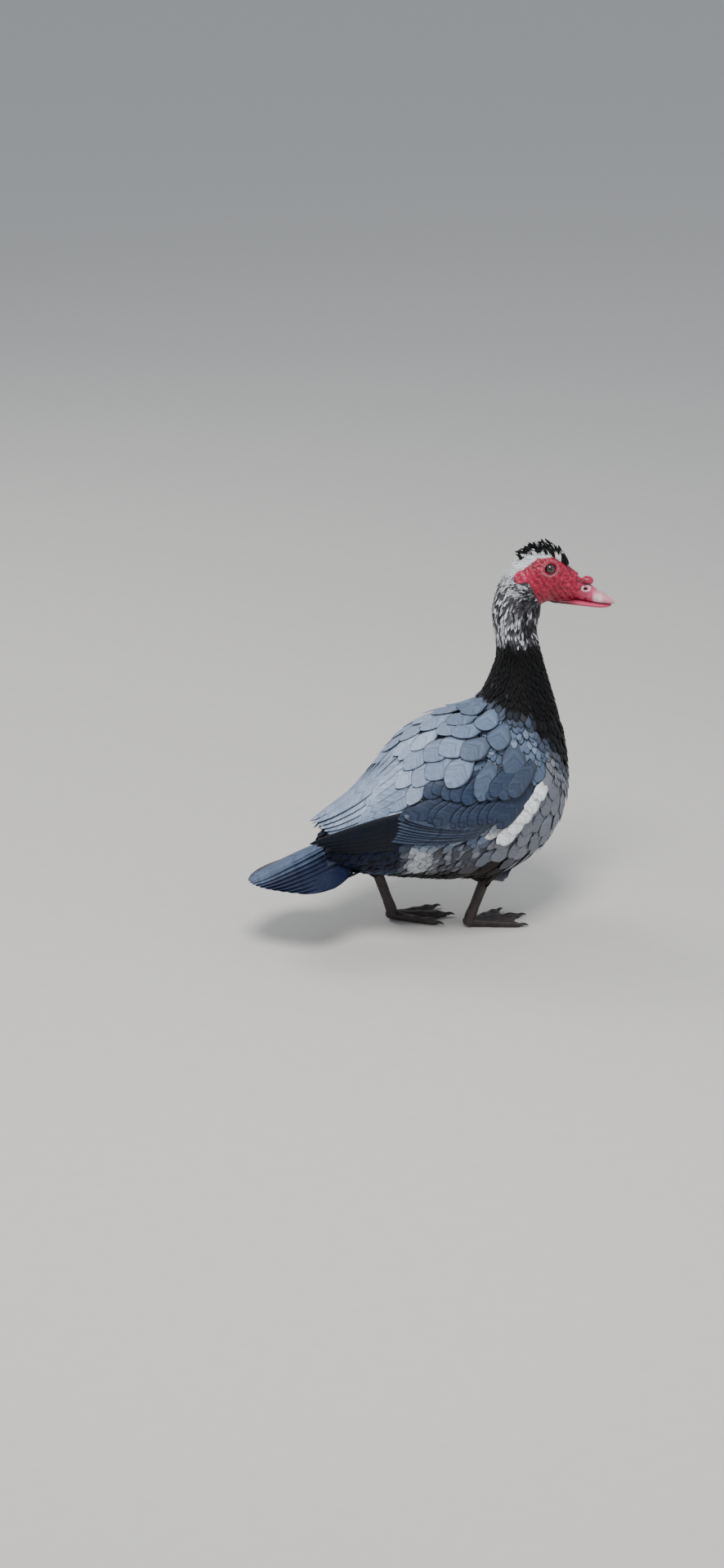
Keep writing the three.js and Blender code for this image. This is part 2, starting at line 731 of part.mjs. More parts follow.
// The origin is on the ground under the middle of the whole bird
const extent = new THREE.Box3().setFromObject(bird);
const middle = extent.getCenter(new THREE.Vector3());
bird.position.set(-middle.x, -middle.y, -extent.min.z);

export default bird;
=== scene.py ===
"""A Muscovy drake, life size and standing: one skin, with every feather laid over it as thin mesh.

Lengths in this file are millimetres unless a name ends in _m. +X is the way the body faces, +Y is the
bird's left and +Z is up. The frame's own origin is under the middle of the whole bird.
"""

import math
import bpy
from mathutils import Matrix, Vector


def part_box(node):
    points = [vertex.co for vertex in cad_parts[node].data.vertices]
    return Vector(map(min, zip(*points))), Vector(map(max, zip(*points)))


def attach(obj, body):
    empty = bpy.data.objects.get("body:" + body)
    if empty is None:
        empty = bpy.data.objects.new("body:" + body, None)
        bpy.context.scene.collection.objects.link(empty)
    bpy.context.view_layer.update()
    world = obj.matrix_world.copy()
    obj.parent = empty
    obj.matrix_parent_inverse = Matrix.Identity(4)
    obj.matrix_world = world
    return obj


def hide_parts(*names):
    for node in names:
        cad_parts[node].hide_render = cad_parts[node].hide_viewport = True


bl_info = {
    "name": "Muscovy drake",
    "version": (1, 0, 0),
    "blender": (4, 5, 0),
    "location": "View3D > Sidebar > Muscovy",
    "description": "Builds a life-size Muscovy drake with skin, feathers, bill and feet",
    "category": "Add Mesh",
}

from types import SimpleNamespace

import bmesh
import bpy
import numpy as np
from bpy.props import FloatProperty, FloatVectorProperty, IntProperty, PointerProperty
from mathutils import Matrix, Vector, noise
from mathutils.bvhtree import BVHTree

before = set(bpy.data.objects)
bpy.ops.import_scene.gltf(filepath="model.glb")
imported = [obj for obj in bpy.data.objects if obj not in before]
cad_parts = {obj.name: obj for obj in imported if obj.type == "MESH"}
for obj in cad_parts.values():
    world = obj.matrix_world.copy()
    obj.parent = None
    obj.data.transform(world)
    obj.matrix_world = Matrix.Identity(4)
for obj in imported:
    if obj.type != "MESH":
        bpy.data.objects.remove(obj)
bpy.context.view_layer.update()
SEED = 41
# The two sides: the sign of their y, and the name their pieces end in
SIDES = ((1, "left"), (-1, "right"))

# Sections of the trunk and neck from the tail's root to the top of the neck:
# the point on the back (x, z), the point on the underside (x, z) and the half width
TRUNK = np.array(
    [
        (-172, 146, -168, 104, 34),
        (-150, 161, -142, 95, 46),
        (-118, 181, -112, 89, 64),
        (-78, 226, -75, 82, 86),
        (-36, 268, -30, 73, 98),
        (8, 290, 15, 67, 102),
        (40, 299, 58, 65, 101),
        (54, 307, 104, 78, 96),
        (61, 317, 146, 108, 87),
        (67, 330, 171, 157, 74),
        (73, 347, 174, 219, 59),
        (77, 362, 162, 285, 46),
        (79, 376, 149, 332, 38.5),
        (77, 393, 140, 364, 35),
        (73, 413, 133, 391, 32.5),
        (70, 433, 131, 411, 31),
        (74, 453, 137, 433, 29),
        (82, 472, 141, 452, 24),
    ],
    float,
)
# How far a section fills its corners; 2 is an ellipse
TRUNK_FULLNESS = 2.25
HEAD_FULLNESS = 2.1
BILL_FULLNESS = 2.4
# Size of the bill's faces
BILL_GRAIN = 0.7

# The head's own frame: p forwards, l to its left, z up, turned to the right about the neck
HEAD_AT = np.array([108.0, 0.0, 0.0])
HEAD_YAW = math.radians(-20)
HEAD_FORWARD = np.array([math.cos(HEAD_YAW), math.sin(HEAD_YAW), 0.0])
HEAD_LEFT = np.array([-math.sin(HEAD_YAW), math.cos(HEAD_YAW), 0.0])
UP = np.array([0.0, 0.0, 1.0])
# p, the crown's z, the jaw's z and the half width
HEAD = np.array(
    [
        (-31, 462, 444, 8),
        (-25, 475, 436, 19),
        (-13, 493, 431, 26),
        (2, 508, 432, 29.5),
        (17, 516, 438, 30),
        (32, 517, 444, 28),
        (46, 511, 447, 24),
        (58, 500, 448, 20),
        (68, 490, 448, 17),
        (76, 484, 449, 15),
    ],
    float,
)
# p, the culmen's z, the edge's z and the half width
BILL_UPPER = np.array(
    [
        (52, 486, 452, 13),
        (66, 486, 451, 15),
        (78, 479, 449, 14),
        (92, 469, 446.5, 13.2),
        (106, 459, 444.5, 13.5),
        (117, 453, 443.5, 12.5),
        (123, 449, 443, 9),
        (127, 445.5, 443, 3),
    ],
    float,
)
BILL_LOWER = np.array(
    [
        (50, 450.4, 445, 12),
        (66, 449.6, 443, 12.5),
        (90, 446, 440, 11.6),
        (108, 443.6, 438.6, 11.4),
        (118, 442.8, 439.2, 8.5),
        (122, 442.3, 440.4, 3.5),
    ],
    float,
)
# Middles on the head in its own frame, and radii: eye, knob over the bill, and nostril
EYE = {"p": 38, "l": 22.5, "z": 496, "radius": 6.6, "flatness": 0.92}
KNOB = {"p": 89, "z": 474, "radius": 9}
NOSTRIL = {"p": 87, "z": 466}

# How far the folded wing stands out from the trunk, over the flank and at the shoulder
WING_DEPTH = 10
WING_FRONT_DEPTH = 2
# Joints of the legs, and which way the feet point, in degrees
LEGS = {
    "right": {"ankle": (50, -38, 74), "toes": (28, -33, 12), "heading": 4},
    "left": {"ankle": (-84, 34, 78), "toes": (-62, 27, 12), "heading": -13},
}
# Each toe: degrees from the foot's heading, length and radius
TOES = ((26, 64, 4.6), (0, 76, 5.0), (-26, 70, 4.6))

# The camera of the picture, seen from the bird's right and a little behind and above it
VIEW_AZIMUTH = math.radians(-20)
VIEW_ELEVATION = math.radians(20)
VIEW_DISTANCE = 4200
VIEW_MM_PER_PIXEL = 1.12
IMAGE_SIZE = (886, 1920)
GROUND_PIXEL = (540, 1127)
SENSOR_MM = 36


def linear(hex_colour):
    """An sRGB hex colour as linear red, green and blue."""
    value = hex_colour.lstrip("#")
    parts = [int(value[i : i + 2], 16) / 255 for i in (0, 2, 4)]
    return tuple(c / 12.92 if c <= 0.04045 else ((c + 0.055) / 1.055) ** 2.4 for c in parts)


def along(rows, t):
    """Rows of numbers at shares t from 0 to 1 of the way through them, on a smooth curve."""
    t = np.asarray(t, float)
    last = len(rows) - 1
    s = np.clip(t, 0, 1) * last
    i = np.minimum(np.floor(s).astype(int), last - 1)
    f = (s - i)[..., None]
    a, b, d, e = (rows[np.clip(i + k, 0, last)] for k in (-1, 0, 1, 2))
    m0, m1 = (d - a) / 2, (e - b) / 2
    f2, f3 = f * f, f * f * f
    return (2 * f3 - 3 * f2 + 1) * b + (f3 - 2 * f2 + f) * m0 + (3 * f2 - 2 * f3) * d + (f3 - f2) * m1


def smooth(low, high, x):
    """0 at low and 1 at high, with a soft start and end."""
    f = np.clip((np.asarray(x, float) - low) / (high - low), 0, 1)
    return f * f * (3 - 2 * f)


def mix(a, b, share):
    """Colours or points from a to b, with a share for each row."""
    share = np.asarray(share, float)[..., None]
    return np.asarray(a) * (1 - share) + np.asarray(b) * share


def lerp(a, b, f):
    """A number or a point from a to b."""
    return a + (b - a) * f


def unit(v):
    """Vectors scaled to a length of one."""
    return v / np.maximum(np.linalg.norm(v, axis=-1, keepdims=True), 1e-9)


def trunk_point(t, angle, grow=0.0):
    """Points round the trunk; angle 0 is the back's ridge and a quarter turn is the left side."""
    t, angle, grow = np.broadcast_arrays(*(np.asarray(v, float) for v in (t, angle, grow)))
    row = along(TRUNK, t)
    across, upright = np.sin(angle), np.cos(angle)
    k = (np.abs(across) ** TRUNK_FULLNESS + np.abs(upright) ** TRUNK_FULLNESS) ** (-1 / TRUNK_FULLNESS)
    centre = np.stack([(row[..., 0] + row[..., 2]) / 2, 0 * t, (row[..., 1] + row[..., 3]) / 2], -1)
    spoke = np.stack([(row[..., 0] - row[..., 2]) / 2, 0 * t, (row[..., 1] - row[..., 3]) / 2], -1)
    length = np.linalg.norm(spoke, axis=-1, keepdims=True)
    spoke = spoke * (1 + grow[..., None] / length)
    side = np.stack([0 * t, (row[..., 4] + grow) * across * k, 0 * t], -1)
    return centre + spoke * (upright * k)[..., None] + side


def wing_depth(t):
    """How far the folded wing stands out at a share of the trunk."""
    return lerp(WING_DEPTH, WING_FRONT_DEPTH, smooth(0.26, 0.46, t))


def head_point(p, l, z):
    """Points given in the head's own frame."""
    p, l, z = np.broadcast_arrays(*(np.asarray(v, float) for v in (p, l, z)))
    return HEAD_AT + p[..., None] * HEAD_FORWARD + l[..., None] * HEAD_LEFT + z[..., None] * UP


def in_head(points):
    """Points as p, l and z of the head's own frame."""
    d = points - HEAD_AT
    return d @ HEAD_FORWARD, d @ HEAD_LEFT, points[..., 2]


def tube_grid(rings, sides):
    """Shares of a body's length and angles round it, for rings of points."""
    angle = np.linspace(0, 2 * math.pi, sides, endpoint=False)
    return np.meshgrid(np.linspace(0, 1, rings), angle, indexing="ij")


def ball_grid(sides, rings, first, last=None):
    """Angles round and down a ball, for rings of points from near one end to near the other."""
    last = math.pi - first if last is None else last
    angle = np.linspace(0, 2 * math.pi, sides, endpoint=False)
    return np.meshgrid(angle, np.linspace(first, last, rings), indexing="xy")


def head_ring(rows, t, angle, fullness, grow=0.0):
    """Points round the head or bill; angle 0 is the top and a quarter turn is the left side."""
    t, angle = np.broadcast_arrays(np.asarray(t, float), np.asarray(angle, float))
    row = along(rows, t)
    across, upright = np.sin(angle), np.cos(angle)
    k = (np.abs(across) ** fullness + np.abs(upright) ** fullness) ** (-1 / fullness)
    middle, half = (row[..., 1] + row[..., 2]) / 2, (row[..., 1] - row[..., 2]) / 2
    return head_point(row[..., 0], (row[..., 3] + grow) * across * k, middle + (half + grow) * upright * k)


def eye_centre(side):
    """The middle of the left eye at 1 and of the right eye at -1."""
    return head_point(EYE["p"], side * EYE["l"], EYE["z"])


def frame_shift():
    """How far the frame's origin lies from this file's, in millimetres, found from the eyes."""
    low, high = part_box("eye_left")
    return np.array((low + high) / 2) * 1000 - eye_centre(1)


SHIFT = frame_shift()


def to_frame(points):
    """Metres in the frame from millimetres in this file."""
    return (np.asarray(points, float) + SHIFT) * 0.001


def from_frame(points_m):
    """Millimetres in this file from metres in the frame."""
    return np.asarray(points_m, float) * 1000 - SHIFT


# Meshes


def shade_smooth(mesh):
    """Hides the edges between the mesh's faces."""
    mesh.polygons.foreach_set("use_smooth", np.ones(len(mesh.polygons), bool))


def mesh_object(name, points, faces):
    """A mesh from points in millimetres and faces of one size, joined into the scene."""
    mesh = bpy.data.meshes.new(name)
    faces = np.asarray(faces, np.int32)
    sides = faces.shape[1]
    mesh.vertices.add(len(points))
    mesh.vertices.foreach_set("co", to_frame(points).astype(np.float32).ravel())
    mesh.loops.add(faces.size)
    mesh.loops.foreach_set("vertex_index", faces.ravel())
    mesh.polygons.add(len(faces))
    mesh.polygons.foreach_set("loop_start", np.arange(0, faces.size, sides, dtype=np.int32))
    mesh.update(calc_edges=True)
    shade_smooth(mesh)
    mesh.validate()
    piece = bpy.data.objects.new(name, mesh)
    bpy.context.scene.collection.objects.link(piece)
    return piece


def ring_faces(rings, sides):
    """The faces between rings of points."""
    i, j = np.meshgrid(np.arange(rings - 1), np.arange(sides), indexing="ij")
    a = i * sides + j
    b = i * sides + (j + 1) % sides
    return np.stack([a, b, b + sides, a + sides], -1).reshape(-1, 4)


def loft_object(name, rings_mm):
    """A closed body through rings of points, with its two ends drawn to a point."""
    rings, sides = rings_mm.shape[:2]
    ends = rings_mm[[0, -1]].mean(1)
    points = np.concatenate([rings_mm.reshape(-1, 3), ends])
    mesh = bpy.data.meshes.new(name)
    first, last = rings * sides, rings * sides + 1
    faces = ring_faces(rings, sides).tolist()
    for j in range(sides):
        k = (j + 1) % sides
        faces.append([k, j, first])
        faces.append([(rings - 1) * sides + j, (rings - 1) * sides + k, last])
    mesh.from_pydata(to_frame(points).tolist(), [], faces)
    bm = bmesh.new()
    bm.from_mesh(mesh)
    bmesh.ops.recalc_face_normals(bm, faces=bm.faces)
    bm.to_mesh(mesh)
    bm.free()
    shade_smooth(mesh)
    piece = bpy.data.objects.new(name, mesh)
    bpy.context.scene.collection.objects.link(piece)
    return piece


def joined(name, pieces):
    """One object from several, which are removed."""
    bm = bmesh.new()
    for piece in pieces:
        bm.from_mesh(piece.data)
        bpy.data.objects.remove(piece)
    mesh = bpy.data.meshes.new(name)
    bm.to_mesh(mesh)
    bm.free()
    whole = bpy.data.objects.new(name, mesh)
    bpy.context.scene.collection.objects.link(whole)
    return whole


def fused(piece, voxel_mm, rounds):
    """The piece remade as one even surface, then smoothed."""
    remesh = piece.modifiers.new("one surface", "REMESH")
    remesh.mode = "VOXEL"
    remesh.voxel_size = voxel_mm * 0.001
    relax = piece.modifiers.new("smooth", "SMOOTH")
    relax.factor = 0.5
    relax.iterations = rounds
    evaluated = piece.evaluated_get(bpy.context.evaluated_depsgraph_get())
    mesh = bpy.data.meshes.new_from_object(evaluated)
    piece.modifiers.clear()
    piece.data = mesh
    shade_smooth(mesh)
    return piece


def points_of(mesh):
    """The mesh's points in millimetres."""
    co = np.empty(len(mesh.vertices) * 3, np.float32)
    mesh.vertices.foreach_get("co", co)
    return from_frame(co.reshape(-1, 3))


def set_points(mesh, points):
    """Moves the mesh's points, given in millimetres."""
    mesh.vertices.foreach_set("co", to_frame(points).astype(np.float32).ravel())
    mesh.update()


def normals_of(mesh):
    """The way out at each point of the mesh."""
    out = np.empty(len(mesh.vertices) * 3, np.float32)
    mesh.vertices.foreach_get("normal", out)
    return out.reshape(-1, 3).astype(float)


def store(mesh, name, values):
    """A value or a colour at each point of the mesh."""
    values = np.asarray(values, np.float32)
    if values.ndim == 1:
        layer = mesh.attributes.new(name, "FLOAT", "POINT")
        layer.data.foreach_set("value", values)
        return
    layer = mesh.attributes.new(name, "FLOAT_COLOR", "POINT")
    layer.data.foreach_set("color", np.c_[values, np.ones(len(values), np.float32)].ravel())


def finish_piece(piece, material, slot, *nodes):
    """Gives a piece its material; nodes are the solids it replaces. The argument slot is not used."""
    piece.data.materials.clear()
    piece.data.materials.append(material)
    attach(piece, "root")
    if nodes:
        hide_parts(*nodes)
    return piece


def noisy(points, scale_mm, offset=0.0):
    """Smooth noise from about -1 to 1 at each point."""
    return np.array([noise.noise(Vector(p / scale_mm) + Vector((offset, 0, 0))) for p in points])


# Settings that a user would change


def colour(name, hex_colour, description):
    """A colour setting with an sRGB hex default."""
    return FloatVectorProperty(
        name=name, description=description, subtype="COLOR", size=3, min=0, max=1, default=linear(hex_colour)
    )


def millimetres(name, default, description):
    """A length setting."""
    return FloatProperty(name=name, description=description, default=default, min=0.01, soft_max=200)


class DuckColours(bpy.types.PropertyGroup):
    """Colours of feathers, bare skin, bill, legs and eyes"""

    slate: colour("Slate", "#6b7c96", "Ground of the back and shoulder feathers")
    slate_light: colour("Light slate", "#a8b8cf", "Palest feathers of the back")
    slate_dark: colour("Dark slate", "#454f62", "Darker feathers among them")
    fringe: colour("Fringe", "#151b28", "Thin dark edge of the large feathers")
    flight: colour("Flight feathers", "#34425a", "Secondaries and greater coverts")
    flight_dark: colour("Dark flight feathers", "#0b111e", "The shaded half of a flight feather")
    black: colour("Black", "#050507", "Lower neck and upper breast")
    white: colour("White", "#f4f8fa", "Crown, wing patch and the flecks of the neck")
    mottle: colour("Mottle", "#4a484e", "Grey-brown flecks of the upper neck")
    breast: colour("Breast side", "#84868f", "Warm grey feathers in front of the wing")
    belly: colour("Belly", "#0b0908", "Underside between the legs")
    brown: colour("Brown", "#372e2b", "Brown feathers round the front leg")
    tail: colour("Tail", "#33425f", "Upper tail feathers")
    navy: colour("Navy", "#16203a", "Lower tail feathers and undertail")
    face: colour("Face", "#a8173a", "Bare skin of the face")
    # Dark crimson of the thin lid rim and of the lower bill's root, and painted shade in the creases of face
    # and bill and in the nostrils
    face_dark_and_crease_shade: colour("Face creases", "#580820", "Creases of the bare skin")
    # A painted highlight: the paler red laid on the bulbs' tops by their relief
    face_bulb_highlight: colour("Face bulbs", "#cc4266", "Tops of the bulbs")
    bill: colour("Bill", "#c84a6a", "Horn of the bill")
    bill_pale: colour("Bill band", "#f6dce2", "Pale band and the nostril's rim")
    leg: colour("Leg", "#352b28", "Scaled skin of legs and feet")
    web: colour("Web", "#4b4142", "Webs between the toes")
    iris: colour("Iris", "#24140c", "Eye round the pupil")


class DuckSizes(bpy.types.PropertyGroup):
    """Depth of the coat, spacing of the small feathers and fineness of the skin"""

    coat_depth: millimetres("Coat depth", 5.0, "How deep the skin lies under the body feathers' tips, in mm")
    neck_depth: millimetres("Neck coat depth", 3.0, "The same on the neck, in mm")
    head_depth: millimetres("Head coat depth", 1.2, "The same on the head, in mm")
    skin_grain: millimetres("Skin grain", 2.0, "Size of the skin's faces, in mm")
    body_gap: millimetres("Body feather spacing", 6.2, "Between neighbouring body feathers, in mm")
    breast_gap: millimetres("Breast feather spacing", 19.0, "Between feathers before the wing, in mm")
    under_gap: millimetres("Covered feather spacing", 9.0, "Between feathers under the wing, in mm")
    neck_gap: millimetres("Neck feather spacing", 3.0, "Between neighbouring neck feathers, in mm")
    head_gap: millimetres("Head feather spacing", 2.0, "Between neighbouring head feathers, in mm")
    barb: millimetres("Barb spacing", 1.3, "Between the barbs of a vane, drawn coarser than life, in mm")
    crest_locks: IntProperty(name="Crest locks", description="Feathers of the crest", default=230, min=20)


# Plumage


def head_share(points):
    """0 on the neck and body, 1 on the head."""
    p, _, z = in_head(points)
    return smooth(0, 12, z - 452 + 0.45 * (p + 5))


# The upper and the lower edge of the bare face as p and z, and the height it lies above
FACE_TOP = ((-9, -4, 4, 12, 22, 40, 56, 70), (486, 492, 496, 502, 509, 509, 507, 500))
FACE_BASE = ((-9, -3, 4, 10, 16, 21, 26, 31), (480, 476, 479, 478, 468, 456, 444, 436))
FACE_FLOOR = 425
FACE_REAR = -9


def face_distance(points):
    """Millimetres by which a point lies inside the bare skin of the face."""
    p, l, z = in_head(points)
    top, base = np.interp(p, *FACE_TOP), np.interp(p, *FACE_BASE)
    crown = np.interp(p, [50, 58, 66], [0.0, 0.6, 1.0])
    inside = np.minimum(top - z, z - base) + crown * 40 * (z > base)
    inside = np.minimum(inside, p - FACE_REAR)
    inside = np.where(p > 64, 10.0, inside)
    aside = np.where(p < 54, np.abs(l) - 9, 5.0)
    return np.minimum(inside, aside)


def face_share(points, soft=1.0):
    """1 on the bare red skin of the face and 0 on the feathers round it."""
    return smooth(-soft, soft, face_distance(points))


# Edge between the back and the black of neck and breast, as x and z seen from the side
BLACK_EDGE = ((20, 38, 59, 95, 125, 160, 176), (322, 314, 309, 293, 266, 219, 196))
# Where the breast's side begins in front of the wing, as z and x
BREAST_EDGE = ((60, 120, 160, 205, 260, 300), (38, 34, 38, 103, 122, 100))
# Lower edge of the white crown as p and z
CROWN_EDGE = ((-34, -10, 2, 20, 60), (470, 482, 486, 500, 505))
# The white patch of the wing: from its rear end to its front end, x, its middle's z and half its width
PATCH_X, PATCH_Z = (35, 101), (159, 205)
PATCH_WIDTH = ((0, 0.3, 0.6, 1), (5, 10, 9, 3))


def black_border(points):
    """Millimetres by which a point lies on the black side of the edge between back and neck."""
    x, z = points[..., 0], points[..., 2]
    return z - np.interp(x, *BLACK_EDGE)


def white_patch(points):
    """1 in the white patch at the front of the wing."""
    x, z = points[..., 0], points[..., 2]
    f = np.clip((x - PATCH_X[0]) / (PATCH_X[1] - PATCH_X[0]), 0, 1)
    inside = np.interp(f, *PATCH_WIDTH) - np.abs(z - lerp(*PATCH_Z, f ** 1.1)) * 0.82
    inside = np.minimum(inside, np.minimum(x - PATCH_X[0], PATCH_X[1] - x) + 5)
    return smooth(-1.5, 1.5, inside) * (np.abs(points[..., 1]) > 40)


def back_colour(at, c):
    """Slate of the back and wings, with paler and darker feathers."""
    darker = np.clip(0.25 + 0.6 * at.patch + 0.5 * (at.draw[0] - 0.5), 0, 1)
    paler = smooth(0.5, 1.0, at.draw[1] + 0.4 * smooth(230, 300, at.z))
    return mix(mix(c.slate, c.slate_dark, darker), c.slate_light, paler * 0.35)


def flank_colour(ground, at, c):
    """Warm grey in front of the wing, and barred feathers with white tips under it."""
    side = smooth(0, 8, at.x - np.interp(at.z, *BREAST_EDGE))
    ground = mix(ground, mix(c.breast, c.slate_dark, 0.3 * at.draw[0]), side)
    bars = smooth(-0.1, 0.5, np.sin(at.x / 3.1 + 2.2 * at.fine))
    bars = bars * smooth(-70, -55, at.x) * smooth(40, 25, at.x)
    flank = mix(mix(c.slate_dark, c.breast, 0.5 + 0.5 * at.draw[1]), c.belly, bars * 0.6)
    tuft = smooth(0.1, 0.9, 1 - np.abs(at.x + 62) / 26 + 0.5 * at.fine)
    flank = mix(flank, c.white, tuft * 0.4 * smooth(98, 106, at.z))
    return mix(ground, flank, at.low * smooth(60, 40, at.x))


def rump_colour(ground, at, c):
    """Navy and black behind the wing, with a bluish band under the rump."""
    rear = smooth(-70, -90, at.x) * smooth(178, 168, at.z + 0.35 * (at.x + 100))
    ground = mix(ground, mix(c.navy, c.black, at.draw[2] * 0.8), rear * (at.x < 0))
    band = smooth(8, 0, np.abs(at.z - 104 - 0.1 * (at.x + 100)))
    band = band * smooth(-132, -120, at.x) * smooth(-72, -84, at.x)
    return mix(ground, mix(c.slate_dark, c.tail, at.draw[0]), band * 0.75)


def belly_colour(ground, at, c):
    """Dark underside, brown round the front leg."""
    under = smooth(112, 98, at.z - 0.12 * np.maximum(at.x, 0)) * smooth(78, 56, at.x) * (at.z < 140)
    dark = mix(c.belly, c.brown, smooth(-10, 20, at.x) * 0.8 * at.draw[1])
    return mix(ground, dark, under * (at.x > -90))


def black_colour(ground, at, c):
    """Black lower neck and breast, with pale and dark scallops along its edge and a few dull flecks."""
    ground = mix(ground, mix(c.slate_dark, c.black, at.draw[1]), smooth(-26, -4, at.edge) * 0.8)
    ground = mix(ground, c.black, smooth(-4, 6, at.edge))
    return mix(ground, c.mottle, (at.draw[2] > 0.93) * (at.edge < 40) * (at.edge > 0) * 0.5)


def neck_colour(ground, at, c):
    """Mottled upper neck, paler behind, at its lower rim and round the face."""
    behind = smooth(6, -26, at.x - trunk_axis_x(at.z))
    above = smooth(-7, 7, at.z - 391 + 7 * at.patch + 9 * (at.draw[0] - 0.5))
    rim = smooth(14, 4, np.abs(at.z - 398)) * 0.5 + smooth(22, 6, -face_distance(at.points)) * 0.35
    fleck = at.fine * 0.7 + 1.9 * (at.draw[1] - 0.5) + 0.75 * behind + rim - 0.35
    mottled = mix(c.mottle, c.black, smooth(-0.1, -0.8, fleck) * 0.8)
    return mix(ground, mix(mottled, c.white, smooth(0.2, 1.0, fleck) * 0.8), above)


def crown_colour(ground, at, c):
    """White crown and nape."""
    p, _, _ = in_head(at.points)
    crown = smooth(0, 7, at.z - np.interp(p, *CROWN_EDGE) + 6 * (at.draw[0] - 0.5))
    return mix(ground, mix(c.white, c.mottle, smooth(0.62, 0.9, at.draw[1]) * 0.6), crown * (at.z > 440))


def plumage(points, rng, c):
    """Ground and fringe colours of feathers or skin at points, with random draws from rng."""
    at = SimpleNamespace(points=points, x=points[:, 0], z=points[:, 2])
    at.draw = rng.random((3, len(points)))
    at.patch, at.fine = noisy(points, 26), noisy(points, 9, 7.0)
    at.low = smooth(152, 140, at.z)
    at.edge = black_border(points) + 7 * at.patch + 6 * (at.draw[0] - 0.5)
    ground = back = back_colour(at, c)
    for colours in (flank_colour, rump_colour, belly_colour, black_colour, neck_colour, crown_colour):
        ground = colours(ground, at, c)
    white = white_patch(points)
    ground = mix(ground, c.white, white)
    # Large feathers have the back's dark fringe, and small ones a slightly darker edge
    large = smooth(6, 0, at.edge) * (1 - at.low) * (at.z < 330)
    fringe = mix(mix(ground, c.black, 0.35), mix(back, c.fringe, 0.8), large)
    fringe = mix(fringe, c.white, white)
    return ground, mix(fringe, ground, smooth(300, 330, at.z))


def trunk_axis_x(z):
    """x of the neck's middle at a height."""
    rows = TRUNK[9:]
    return np.interp(z, (rows[:, 1] + rows[:, 3]) / 2, (rows[:, 0] + rows[:, 2]) / 2)


def spine_points():
    """The bird's axis from the tail's root through neck and head."""
    t = np.linspace(0, 0.93, 120)
    row = along(TRUNK, t)
    body = np.stack([(row[:, 0] + row[:, 2]) / 2, 0 * t, (row[:, 1] + row[:, 3]) / 2], -1)
    s = np.linspace(0.38, 1, 30)
    ring = along(HEAD, s)
    head = head_point(ring[:, 0], 0 * s, (ring[:, 1] + ring[:, 2]) / 2)
    return np.concatenate([body, head])


SPINE = spine_points()
SPINE_LIE = unit(np.gradient(SPINE, axis=0))
# Points looked up at a time
BLOCK = 4000


def near_spine(points):
    """Nearest share along the spine, the angle round it and the spine's direction there."""
    index = np.empty(len(points), int)
    # Block by block, so that the table of distances stays small
    for start in range(0, len(points), BLOCK):
        block = points[start : start + BLOCK]
        gap = ((block[:, None, :] - SPINE[None]) ** 2).sum(-1)
        index[start : start + BLOCK] = gap.argmin(1)
    tangent = SPINE_LIE[index]
    off = points - SPINE[index]
    upright = unit(np.cross(tangent, np.cross([-0.3, 0.0, 1.0], tangent)))
    left = np.cross(upright, tangent)
    angle = np.arctan2((off * left).sum(-1), (off * upright).sum(-1))
    return index / (len(SPINE) - 1), angle, tangent


def unwrapped(points):
    """Each point's place on an unwrap of the skin, from 0.02 to 0.98 both ways."""
    share, angle, _ = near_spine(points)
    return np.stack([0.5 + 0.48 * angle / math.pi, 0.02 + 0.96 * share], -1)


# Feathers

# Outlines: the root's share of the greatest width, the share of the length that the tip takes,
# and the power of the tip's curve
ROUNDED = {"root": 0.5, "tip": 0.42, "power": 2.0}
BROAD = {"root": 0.6, "tip": 0.3, "power": 2.4}
POINTED = {"root": 0.7, "tip": 0.6, "power": 1.7}
LOCK = {"root": 0.8, "tip": 0.85, "power": 1.5}
# Place of the half width among the values that a feather is added with
HALF_WIDTH = 5
# How far the barbs draw back each side of a feather's tip, as a share of its width
SWEEP = 0.35
# Size of one feather's own patch on the unwrap
BAKE_PATCH = 0.003


def vane_width(v, shape):
    """The share of a feather's greatest width at a share v of its length."""
    rise = shape["root"] + (1 - shape["root"]) * smooth(0, 0.5, v)
    end = np.clip((v - (1 - shape["tip"])) / shape["tip"], 0, 1)
    return rise * np.maximum(1 - end ** shape["power"], 0.0) ** (1 / shape["power"]) + 0.03


